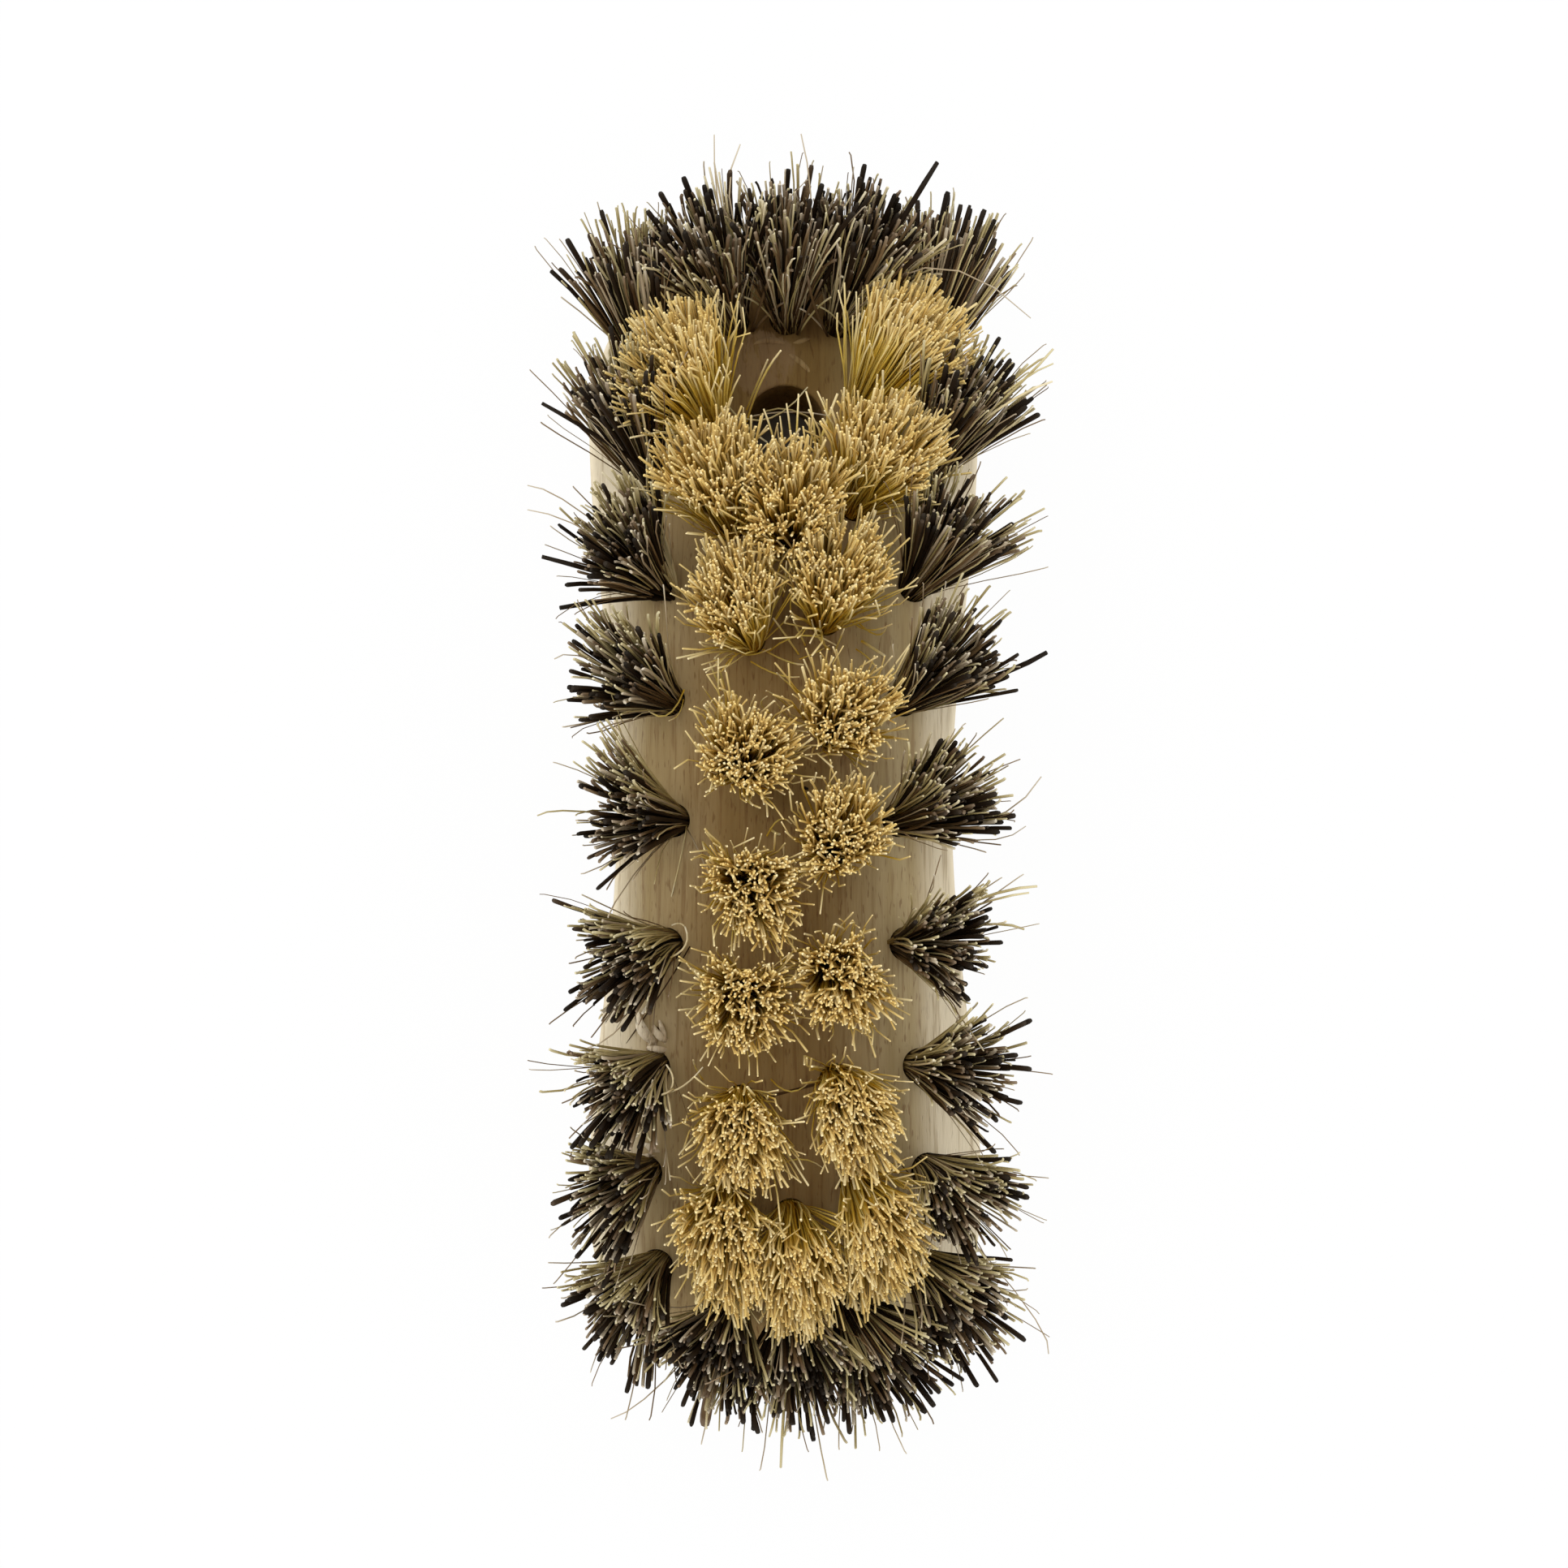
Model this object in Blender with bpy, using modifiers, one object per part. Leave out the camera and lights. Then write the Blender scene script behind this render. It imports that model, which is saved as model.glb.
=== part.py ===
"""Scrub brush: a waisted beech block set with a ring of flared dark tufts round staggered pale ones.

The brush lies on its back with the bristles up. The origin is the middle of the flat back,
+Y runs along the block to the end with the hanging hole, and +Z points out of the bristles.
Every length is in metres.
"""

import math
import random

import bmesh
import bpy
from mathutils import Matrix, Vector

# Block: a waisted outline with rounded ends
BLOCK_LENGTH = 0.200
WAIST_WIDTH = 0.0587
END_WIDTH = 0.0686
BLOCK_THICKNESS = 0.021
END_ROUND_LENGTH = 0.035
END_ROUND_POWER = 2.3
SWELL_SHARE = 0.70

# Block: section from the flat back to the flat bristle face
BACK_EDGE_ROUND = 0.005
SHOULDER_DROP = 0.0042
SHOULDER_WIDTH = 0.0128
SHOULDER_EDGE_ROUND = 0.0016
RIDGE_SOFTENING = 0.0014

# Hanging hole near the top end
HANGING_HOLE_DIAMETER = 0.0135
HANGING_HOLE_SHARE = 0.675
HANGING_HOLE_RIM = 0.0006

# Tuft holes, drilled blind
TUFT_HOLE_DIAMETER = 0.006
TUFT_HOLE_DEPTH = 0.013
RING_INSET = 0.0098
HOLE_WALL = 0.0012
DARK_TILT_SHARE = 1.0
PALE_TILT_SHARE = 0.5

# Tufts: a packed root with the strands fused to it
TUFT_CLEARANCE = 0.0003
ROOT_STAND_OUT = 0.0003
BRISTLE_LENGTH = 0.028
DARK_SPLAY = 0.0078
PALE_SPLAY = 0.0082
DARK_STRAND_DIAMETER = 0.0011
PALE_STRAND_DIAMETER = 0.0009
STRAND_FLARE_SHARE = 1.25
STRAND_EMBED = 0.0006
STRAND_GAP = 0.0004
STRAND_JITTER_SHARE = 0.07
TRIM_JITTER_SHARE = 0.035
STRAY_SPREAD_SHARE = 1.65

# Anchor staples: a flat wire strip inside the fold of each tuft, whose ends bite into the wood
STAPLE_LENGTH = 0.007
STAPLE_THICKNESS = 0.0004
STAPLE_HEIGHT = 0.0016
FOLD_DEPTH = 0.0013

# Overrun of every cutter past the surface that it opens
OVERRUN = 0.004

# Number of sides of round things, the angle that stays sharp, and the unit that is printed
HOLE_SIDES = 10
HANGING_HOLE_SIDES = 32
SIDE_STEPS = 10
END_STEPS = 12
BACK_ROUND_STEPS = 4
SMOOTH_ANGLE_DEGREES = 20.0
MILLIMETRES = 1000

# Rows of the dark side tufts: how far out all their tips stand, as a share of half the
# block's widest width, then hole and tip, as shares of half its length
SIDE_TIP_SHARE = 0.828
SIDE_ROW_SHARES = (
    (0.765, 0.890), (0.585, 0.659), (0.395, 0.434), (0.195, 0.217), (-0.015, 0.000),
    (-0.230, -0.224), (-0.440, -0.442), (-0.620, -0.623), (-0.780, -0.804),
)

# Dark end tufts: hole across and along, tip across and along, as shares of half the
# block's widest width and of half its length
TOP_END_SHARES = (
    (-0.27, 0.858, -0.41, 0.956), (0.005, 0.863, 0.000, 0.972), (0.28, 0.858, 0.40, 0.960),
)
BOTTOM_END_SHARES = (
    (-0.27, -0.850, -0.41, -0.885), (0.02, -0.858, 0.02, -0.912), (0.30, -0.850, 0.42, -0.901),
)

# Pale tufts: the same four shares for each, from the top of its group down
PALE_LEFT_SHARES = (
    (-0.190, 0.300, -0.277, 0.337), (-0.219, 0.075, -0.222, 0.084), (-0.204, -0.125, -0.187, -0.123),
    (-0.219, -0.310, -0.242, -0.303), (-0.233, -0.500, -0.280, -0.508),
)
PALE_RIGHT_SHARES = (
    (0.198, 0.335, 0.233, 0.383), (0.233, 0.135, 0.268, 0.149), (0.233, -0.065, 0.248, -0.059),
    (0.233, -0.270, 0.248, -0.272), (0.248, -0.465, 0.321, -0.477),
)
PALE_TOP_SHARES = (
    (-0.379, 0.665, -0.598, 0.721), (-0.286, 0.500, -0.370, 0.539), (0.017, 0.470, 0.006, 0.500),
    (0.356, 0.535, 0.446, 0.586), (0.379, 0.690, 0.563, 0.777),
)
PALE_BOTTOM_SHARES = (
    (-0.306, -0.660, -0.373, -0.685), (0.017, -0.695, 0.017, -0.713), (0.350, -0.640, 0.431, -0.663),
)

# Strands of a tuft: how many in each ring, and the ring's radius as a share of the root's
DARK_RING_COUNTS = (3, 6)
PALE_RING_COUNTS = (4, 8)
RING_RADIUS_SHARES = (0.28, 0.66)
DARK_STRAND_SIDES = 4
PALE_STRAND_SIDES = 3

# Worked out from the sizes above
HALF_LENGTH = BLOCK_LENGTH / 2
HALF_WAIST = WAIST_WIDTH / 2
HALF_END = END_WIDTH / 2
ROOT_RADIUS = TUFT_HOLE_DIAMETER / 2 - TUFT_CLEARANCE
ROOT_BOTTOM = TUFT_CLEARANCE - TUFT_HOLE_DEPTH
STAPLE_MIDDLE = ROOT_BOTTOM + FOLD_DEPTH + STAPLE_HEIGHT / 2


def remove_everything():
    """Empty the scene."""
    for item in list(bpy.data.objects):
        bpy.data.objects.remove(item, do_unlink=True)


def new_collection(name):
    """Make a collection under the scene."""
    collection = bpy.data.collections.new(name)
    bpy.context.scene.collection.children.link(collection)
    return collection


def new_material(name, color, roughness):
    """Make a Principled material."""
    material = bpy.data.materials.new(name)
    material.use_nodes = True
    shader = material.node_tree.nodes["Principled BSDF"]
    shader.inputs["Base Color"].default_value = (*color, 1.0)
    shader.inputs["Roughness"].default_value = roughness
    shader.inputs["Metallic"].default_value = 0.0
    material.diffuse_color = (*color, 1.0)
    return material


def object_from(bm, name, collection):
    """Turn a bmesh into a mesh object of a collection."""
    mesh = bpy.data.meshes.new(name)
    bm.to_mesh(mesh)
    bm.free()
    made = bpy.data.objects.new(name, mesh)
    collection.objects.link(made)
    return made


def boolean(target, tool, operation):
    """Add an exact Boolean modifier to an object."""
    modifier = target.modifiers.new(f"{operation.lower()}_{tool.name}", "BOOLEAN")
    modifier.operation = operation
    modifier.solver = "EXACT"
    modifier.object = tool
    return modifier


def evaluated_mesh(source):
    """Return a new mesh of an object with its modifiers applied."""
    bpy.context.view_layer.update()
    depsgraph = bpy.context.evaluated_depsgraph_get()
    return bpy.data.meshes.new_from_object(source.evaluated_get(depsgraph))


def half_width(y):
    """Half the width of the waisted outline at a place along the block, its ends not yet rounded."""
    reach = min(abs(y) / (SWELL_SHARE * HALF_LENGTH), 1.0)
    return HALF_WAIST + (HALF_END - HALF_WAIST) * (1 - math.cos(math.pi * reach)) / 2


def outline(side_steps, end_steps):
    """Points of the block's outline, anticlockwise from the right end of the straight stretch."""
    straight = HALF_LENGTH - END_ROUND_LENGTH
    exponent = 2 / END_ROUND_POWER
    points = []
    for sign in (1, -1):
        for step in range(side_steps):
            y = straight * (2 * step / side_steps - 1)
            points.append((sign * half_width(y), sign * y))
        for step in range(end_steps):
            angle = math.pi * step / end_steps
            along = math.sin(angle) ** exponent if step else 0.0
            across = math.copysign(abs(math.cos(angle)) ** exponent, math.cos(angle))
            y = straight + END_ROUND_LENGTH * along
            points.append((sign * half_width(y) * across, sign * y))
    return points


FINE_OUTLINE = outline(SIDE_STEPS * END_STEPS, SIDE_STEPS * END_STEPS)


def inset_at(x, y):
    """Distance from a point of the face to the block's outline."""
    return min(math.hypot(x - edge_x, y - edge_y) for edge_x, edge_y in FINE_OUTLINE)


def ring_place(y, side):
    """Place a side tuft at the ring's inset from the outline."""
    x = side * (half_width(y) - RING_INSET)
    for _ in range(SIDE_STEPS):
        x -= side * (RING_INSET - inset_at(x, y))
    return x, y


def face_profile():
    """Steps of inset and rise that lead from the side wall to the flat bristle face."""
    shoulder_run = SHOULDER_WIDTH - SHOULDER_EDGE_ROUND
    softening_rise = RIDGE_SOFTENING * SHOULDER_DROP / SHOULDER_WIDTH / 2
    shoulder_rise = SHOULDER_DROP - SHOULDER_EDGE_ROUND / 2 - softening_rise
    return (
        (SHOULDER_EDGE_ROUND / 4, SHOULDER_EDGE_ROUND / 2),
        (SHOULDER_EDGE_ROUND * 3 / 4, SHOULDER_EDGE_ROUND / 2),
        (shoulder_run, shoulder_rise - SHOULDER_EDGE_ROUND / 2),
        (RIDGE_SOFTENING, softening_rise),
    )


def side_wall_top():
    """Height of the side wall's upper edge."""
    return BLOCK_THICKNESS - sum(rise for _, rise in face_profile())


def surface_height(inset):
    """Height of the bristle side at an inset from the outline."""
    reached = 0.0
    height = side_wall_top()
    for step, rise in face_profile():
        if inset < reached + step:
            return height + rise * (inset - reached) / step
        reached += step
        height += rise
    return BLOCK_THICKNESS


def inset_face(bm, face, inset, rise):
    """Inset a flat face and raise it along its normal."""
    bmesh.ops.inset_region(bm, faces=[face], thickness=inset, depth=rise, use_even_offset=True)


def make_block(collection, cutters, tufts, material):
    """Shape the block: outline, side wall, rounded back edge, sloping shoulders, then its holes."""
    bm = bmesh.new()
    rim = [bm.verts.new((x, y, BACK_EDGE_ROUND)) for x, y in outline(SIDE_STEPS, END_STEPS)]
    edges = [bm.edges.new((rim[i - 1], rim[i])) for i in range(len(rim))]
    back = bmesh.ops.contextual_create(bm, geom=edges)["faces"][0]
    back.normal_update()
    if back.normal.z > 0:
        back.normal_flip()
    face = bmesh.ops.extrude_face_region(bm, geom=[back], use_keep_orig=True)
    face = next(item for item in face["geom"] if isinstance(item, bmesh.types.BMFace))
    wall = side_wall_top() - BACK_EDGE_ROUND
    bmesh.ops.translate(bm, verts=face.verts, vec=(0, 0, wall))
    bmesh.ops.recalc_face_normals(bm, faces=bm.faces)
    for inset, rise in face_profile():
        inset_face(bm, face, inset, rise)
    for step in range(BACK_ROUND_STEPS):
        start = math.pi / 2 * step / BACK_ROUND_STEPS
        end = math.pi / 2 * (step + 1) / BACK_ROUND_STEPS
        inset = BACK_EDGE_ROUND * (math.cos(start) - math.cos(end))
        inset_face(bm, back, inset, BACK_EDGE_ROUND * (math.sin(end) - math.sin(start)))
    block = object_from(bm, "wood_block", collection)
    block.data.materials.append(material)
    places = [tuft.place for tuft in tufts]
    boolean(block, make_hole_cutters(places, cutters), "DIFFERENCE")
    bites = make_staple_bars(places, TUFT_CLEARANCE, "staple_bite_cutters", cutters)
    boolean(block, bites, "DIFFERENCE")
    boolean(block, make_hanging_cutter(cutters), "DIFFERENCE")
    block.data.shade_smooth()
    block.data.set_sharp_from_angle(angle=math.radians(SMOOTH_ANGLE_DEGREES))
    return block


def hide_cutter(cutter):
    """Show a cutter as wire and keep it out of renders."""
    cutter.hide_render = True
    cutter.display_type = "WIRE"


def make_hole_cutters(places, cutters):
    """One cylinder for each blind tuft hole, along the hole's axis."""
    bm = bmesh.new()
    depth = TUFT_HOLE_DEPTH + OVERRUN
    middle = Matrix.Translation((0, 0, depth / 2 - TUFT_HOLE_DEPTH))
    for place in places:
        bmesh.ops.create_cone(
            bm, cap_ends=True, segments=HOLE_SIDES, radius1=TUFT_HOLE_DIAMETER / 2,
            radius2=TUFT_HOLE_DIAMETER / 2, depth=depth, matrix=place @ middle,
        )
    cutter = object_from(bm, "tuft_hole_cutters", cutters)
    hide_cutter(cutter)
    return cutter


def make_hanging_cutter(cutters):
    """A turned cutter for the hanging hole, wider at both rims to ease them."""
    radius = HANGING_HOLE_DIAMETER / 2
    rim = radius + HANGING_HOLE_RIM
    profile = (
        (0, BLOCK_THICKNESS + OVERRUN), (rim + OVERRUN, BLOCK_THICKNESS + OVERRUN),
        (rim, BLOCK_THICKNESS), (radius, BLOCK_THICKNESS - HANGING_HOLE_RIM),
        (radius, HANGING_HOLE_RIM), (rim, 0), (rim + OVERRUN, -OVERRUN), (0, -OVERRUN),
    )
    mesh = bpy.data.meshes.new("hanging_hole_cutter")
    edges = [(i, i + 1) for i in range(len(profile) - 1)]
    mesh.from_pydata([(x, 0, z) for x, z in profile], edges, [])
    cutter = bpy.data.objects.new("hanging_hole_cutter", mesh)
    cutters.objects.link(cutter)
    screw = cutter.modifiers.new("turn", "SCREW")
    screw.steps = HANGING_HOLE_SIDES
    screw.render_steps = HANGING_HOLE_SIDES
    screw.use_merge_vertices = True
    screw.merge_threshold = TUFT_CLEARANCE / HANGING_HOLE_SIDES
    cutter.location = (0, HANGING_HOLE_SHARE * HALF_LENGTH, 0)
    hide_cutter(cutter)
    return cutter


class Tuft:
    """A tuft's hole, its middle tip and its strands."""

    def __init__(self, name, dark, hole, tip):
        """Give a tuft the sizes of its kind and seat it."""
        self.name = name
        self.dark = dark
        self.splay = DARK_SPLAY if dark else PALE_SPLAY
        self.counts = DARK_RING_COUNTS if dark else PALE_RING_COUNTS
        self.sides = DARK_STRAND_SIDES if dark else PALE_STRAND_SIDES
        self.radius = (DARK_STRAND_DIAMETER if dark else PALE_STRAND_DIAMETER) / 2
        self.seat(hole, tip)

    def seat(self, hole, tip):
        """Place a tuft by the middle of its hole and of its tips on the face plan."""
        self.mouth = Vector((*hole, surface_height(inset_at(*hole))))
        self.lean = Vector((*tip, 0)) - Vector((*hole, 0))
        rise = math.sqrt(max(BRISTLE_LENGTH ** 2 - self.lean.length ** 2, BRISTLE_LENGTH ** 2 / 2))
        self.tip = self.mouth + self.lean + Vector((0, 0, rise))
        tilt = DARK_TILT_SHARE if self.dark else PALE_TILT_SHARE
        self.axis = Vector((0, 0, 1)).lerp((self.tip - self.mouth).normalized(), tilt).normalized()
        turn = Vector((0, 0, 1)).rotation_difference(self.axis).to_matrix().to_4x4()
        self.place = Matrix.Translation(self.mouth) @ turn

    def move(self, step):
        """Shift a tuft's hole and tips alike across the face."""
        self.seat((self.mouth + step).xy, (self.tip + step).xy)

    def hole_line(self):
        """Middle line of the tuft's hole, from its bottom to its mouth."""
        return self.mouth - self.axis * TUFT_HOLE_DEPTH, self.mouth

    def strands(self):
        """Foot and tip of every strand, spread from the root in the same order as they stand in it."""
        rng = random.Random(self.name)
        made = []
        for count, share in zip(self.counts, RING_RADIUS_SHARES):
            start = rng.random() * math.tau
            for index in range(count):
                angle = start + math.tau * index / count
                out = self.place.to_3x3() @ Vector((math.cos(angle), math.sin(angle), 0))
                foot = self.mouth + self.axis * (ROOT_STAND_OUT - STRAND_EMBED)
                foot += out * ROOT_RADIUS * share
                spread = self.splay * (share + STRAND_JITTER_SHARE * (rng.random() - 1))
                trim = self.axis * BRISTLE_LENGTH * TRIM_JITTER_SHARE * (rng.random() - 1)
                made.append((foot, self.tip + out * spread / RING_RADIUS_SHARES[-1] + trim))
        if self.dark:
            self.let_one_stray(made)
        return made

    def let_one_stray(self, made):
        """Bend out the strand that points furthest off the brush, as a stiff stalk stands out of a tuft."""
        furthest = max(range(len(made)), key=lambda index: (made[index][1] - self.tip).dot(self.lean))
        foot, tip = made[furthest]
        made[furthest] = (foot, tip + (tip - self.tip) * (STRAY_SPREAD_SHARE - 1))


def segment_gap(first, second):
    """Least distance between two straight strands' middle lines."""
    start_a, end_a = first
    start_b, end_b = second
    along_a = end_a - start_a
    along_b = end_b - start_b
    between = start_a - start_b
    aa, bb, ab = along_a.dot(along_a), along_b.dot(along_b), along_a.dot(along_b)
    a_off, b_off = along_a.dot(between), along_b.dot(between)
    slant = aa * bb - ab * ab
    s = min(max((ab * b_off - bb * a_off) / slant, 0.0), 1.0) if slant > 0 else 0.0
    t = min(max((ab * s + b_off) / bb, 0.0), 1.0)
    s = min(max((ab * t - a_off) / aa, 0.0), 1.0)
    return (between + along_a * s - along_b * t).length


def missing_wall(line, other, other_diameter):
    """Step away from another hole that makes up what its wall is short of, from their middle lines."""
    between_middles = (TUFT_HOLE_DIAMETER + other_diameter) / 2
    short = HOLE_WALL + between_middles - segment_gap(line, other)
    away = line[1] - other[1]
    away.z = 0
    return away.normalized() * max(short, 0)


def space_holes(tufts):
    """Move tufts whose holes come too near each other or the hanging hole until a wall is left."""
    bottom = Vector((0, HANGING_HOLE_SHARE * HALF_LENGTH, 0))
    hanging = (bottom, bottom + Vector((0, 0, BLOCK_THICKNESS)))
    moving = True
    rounds = 0
    while moving and rounds < len(tufts):
        moving = False
        for index, tuft in enumerate(tufts):
            for other in tufts[index + 1:]:
                step = missing_wall(tuft.hole_line(), other.hole_line(), TUFT_HOLE_DIAMETER)
                if step.length > 0:
                    tuft.move(step / 2)
                    other.move(-step / 2)
                    moving = True
            step = missing_wall(tuft.hole_line(), hanging, HANGING_HOLE_DIAMETER)
            if step.length > 0:
                tuft.move(step)
                moving = True
        rounds += 1


def crowding(tuft, other):
    """How far two tufts' strands fall short of the gap that keeps them apart."""
    need = (tuft.radius + other.radius) * STRAND_FLARE_SHARE + STRAND_GAP
    least = min(segment_gap(a, b) for a in tuft.strands() for b in other.strands())
    return need - least


def keep_apart(tufts):
    """Draw neighbouring tufts in until none of their strands touch."""
    reach = BRISTLE_LENGTH + DARK_SPLAY
    pairs = [
        (a, b) for index, a in enumerate(tufts) for b in tufts[index + 1:]
        if (a.tip - b.tip).length < reach
    ]
    crowded = pairs
    rounds = 0
    while crowded and rounds < len(tufts):
        crowded = [(a, b) for a, b in crowded if crowding(a, b) > 0]
        for tuft in {item for pair in crowded for item in pair}:
            tuft.splay *= 1 - STRAND_JITTER_SHARE / 2
        rounds += 1
    least = min(-crowding(a, b) for a, b in pairs) + STRAND_GAP
    print(f"least gap between strands of neighbouring tufts: {least * MILLIMETRES:.2f} mm")


def make_strands(tuft, cutters):
    """The strands of one tuft as tapered bars, in the tuft's own frame."""
    bm = bmesh.new()
    to_local = tuft.place.inverted()
    for foot, tip in tuft.strands():
        foot, tip = to_local @ foot, to_local @ tip
        along = tip - foot
        turn = Vector((0, 0, 1)).rotation_difference(along).to_matrix().to_4x4()
        bmesh.ops.create_cone(
            bm, cap_ends=True, segments=tuft.sides, radius1=tuft.radius,
            radius2=tuft.radius * STRAND_FLARE_SHARE, depth=along.length,
            matrix=Matrix.Translation((foot + tip) / 2) @ turn,
        )
    return object_from(bm, f"{tuft.name}_strands", cutters)


def make_tuft(tuft, collection, cutters, staple, material):
    """Fuse a tuft's strands and staple to its packed root and seat it in its hole."""
    bm = bmesh.new()
    height = ROOT_STAND_OUT - ROOT_BOTTOM
    bmesh.ops.create_cone(
        bm, cap_ends=True, segments=HOLE_SIDES, radius1=ROOT_RADIUS, radius2=ROOT_RADIUS,
        depth=height, matrix=Matrix.Translation((0, 0, ROOT_BOTTOM + height / 2)),
    )
    root = object_from(bm, f"{tuft.name}_root", cutters)
    strands = make_strands(tuft, cutters)
    boolean(root, strands, "UNION")
    boolean(root, staple, "UNION")
    mesh = evaluated_mesh(root)
    mesh.name = tuft.name
    mesh.materials.clear()
    mesh.materials.append(material)
    for helper in (root, strands):
        bpy.data.objects.remove(helper, do_unlink=True)
    made = bpy.data.objects.new(tuft.name, mesh)
    collection.objects.link(made)
    made.matrix_world = tuft.place
    return made


def make_staple_bars(places, clearance, name, cutters):
    """One flat strip at each place, grown by a clearance on every side."""
    bm = bmesh.new()
    for place in places:
        sizes = (STAPLE_LENGTH, STAPLE_THICKNESS, STAPLE_HEIGHT)
        scale = Matrix.Diagonal((*(size + 2 * clearance for size in sizes), 1))
        middle = Matrix.Translation((0, 0, STAPLE_MIDDLE))
        bmesh.ops.create_cube(bm, size=1, matrix=place @ middle @ scale)
    bars = object_from(bm, name, cutters)
    hide_cutter(bars)
    return bars


def plan_tufts():
    """List every tuft with its hole and the middle of its tips."""
    tufts = []
    for side, side_name in ((-1, "left"), (1, "right")):
        for index, (hole_share, tip_share) in enumerate(SIDE_ROW_SHARES, 1):
            hole = ring_place(hole_share * HALF_LENGTH, side)
            tip = (side * SIDE_TIP_SHARE * HALF_END, tip_share * HALF_LENGTH)
            tufts.append(Tuft(f"tuft_dark_{side_name}_{index}", True, hole, tip))
    groups = (
        ("dark_top", TOP_END_SHARES), ("dark_bottom", BOTTOM_END_SHARES),
        ("pale_left", PALE_LEFT_SHARES), ("pale_right", PALE_RIGHT_SHARES),
        ("pale_top", PALE_TOP_SHARES), ("pale_bottom", PALE_BOTTOM_SHARES),
    )
    for group, rows in groups:
        for index, (hole_x, hole_y, tip_x, tip_y) in enumerate(rows, 1):
            hole = (hole_x * HALF_END, hole_y * HALF_LENGTH)
            tip = (tip_x * HALF_END, tip_y * HALF_LENGTH)
            tufts.append(Tuft(f"tuft_{group}_{index}", group.startswith("dark"), hole, tip))
    return tufts


def main():
    """Build the brush."""
    remove_everything()
    parts = new_collection("scrub_brush")
    cutters = new_collection("cutters")
    beech = new_material("raw_beech", (0.62, 0.52, 0.41), 0.75)
    dark = new_material("union_fibre", (0.10, 0.075, 0.05), 0.6)
    pale = new_material("tampico_fibre", (0.72, 0.55, 0.27), 0.55)
    tufts = plan_tufts()
    space_holes(tufts)
    keep_apart(tufts)
    make_block(parts, cutters, tufts, beech)
    staple = make_staple_bars([Matrix.Identity(4)], 0, "staple_bar", cutters)
    for tuft in tufts:
        make_tuft(tuft, parts, cutters, staple, dark if tuft.dark else pale)
    strand_count = sum(sum(tuft.counts) for tuft in tufts)
    print(f"{len(tufts)} tufts, {strand_count} strands")


main()
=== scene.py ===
"""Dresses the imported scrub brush: a raw beech block, dark mixed stalks and golden fibre tufts.

+Y runs along the block to the end with the hanging hole and +Z points out of the bristles.
Lengths are in metres. Places in the photograph are in pixels of its 1932 x 1932 frame.
"""

import logging
import math
from dataclasses import dataclass, field, replace
from enum import Enum
from typing import Any

import bmesh
import bpy
import numpy as np
from mathutils import Matrix, Vector


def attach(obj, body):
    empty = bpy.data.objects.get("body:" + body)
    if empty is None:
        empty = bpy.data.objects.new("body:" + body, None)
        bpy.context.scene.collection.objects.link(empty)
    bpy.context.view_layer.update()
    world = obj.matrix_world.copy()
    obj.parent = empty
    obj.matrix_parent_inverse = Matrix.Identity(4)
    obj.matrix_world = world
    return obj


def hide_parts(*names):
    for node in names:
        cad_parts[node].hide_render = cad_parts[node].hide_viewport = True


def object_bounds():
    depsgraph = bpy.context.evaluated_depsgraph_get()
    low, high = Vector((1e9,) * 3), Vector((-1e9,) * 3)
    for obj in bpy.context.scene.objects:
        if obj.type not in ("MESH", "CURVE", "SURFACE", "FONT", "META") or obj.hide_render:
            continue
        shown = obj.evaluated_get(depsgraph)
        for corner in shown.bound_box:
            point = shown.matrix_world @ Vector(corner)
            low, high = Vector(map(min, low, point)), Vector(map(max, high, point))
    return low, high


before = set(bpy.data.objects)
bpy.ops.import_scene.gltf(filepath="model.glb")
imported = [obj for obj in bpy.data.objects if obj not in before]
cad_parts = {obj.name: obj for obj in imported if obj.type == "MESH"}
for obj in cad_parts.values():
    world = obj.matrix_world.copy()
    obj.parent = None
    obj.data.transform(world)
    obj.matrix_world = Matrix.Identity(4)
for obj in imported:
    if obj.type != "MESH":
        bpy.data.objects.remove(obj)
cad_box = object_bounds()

log = logging.getLogger("scrub_brush")

MM = 0.001
GOLDEN_ANGLE = 2.39996
Pair = tuple[float, float]
Triple = tuple[float, float, float]
Colour = Triple
Stops = tuple[tuple[float, Colour], ...]


class Slot(Enum):
    """Material slots of the record."""

    BEECH = "raw_beech"
    DARK = "union_fibre"
    PALE = "tampico_fibre"


class Link:
    """A shader socket that takes part in Python expressions."""

    def __init__(self, book: "NodeBook", socket: bpy.types.NodeSocket) -> None:
        """Keep the socket and the material that it belongs to."""
        self.book = book
        self.socket = socket

    def __add__(self, other: "Link | float") -> "Link":
        """Add a value."""
        return self.book.maths("ADD", self, other)

    def __radd__(self, other: float) -> "Link":
        """Add to a number."""
        return self.book.maths("ADD", other, self)

    def __sub__(self, other: "Link | float") -> "Link":
        """Take a value away."""
        return self.book.maths("SUBTRACT", self, other)

    def __rsub__(self, other: float) -> "Link":
        """Take away from a number."""
        return self.book.maths("SUBTRACT", other, self)

    def __mul__(self, other: "Link | float") -> "Link":
        """Multiply by a value."""
        return self.book.maths("MULTIPLY", self, other)

    def __rmul__(self, other: float) -> "Link":
        """Multiply a number."""
        return self.book.maths("MULTIPLY", other, self)


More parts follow.
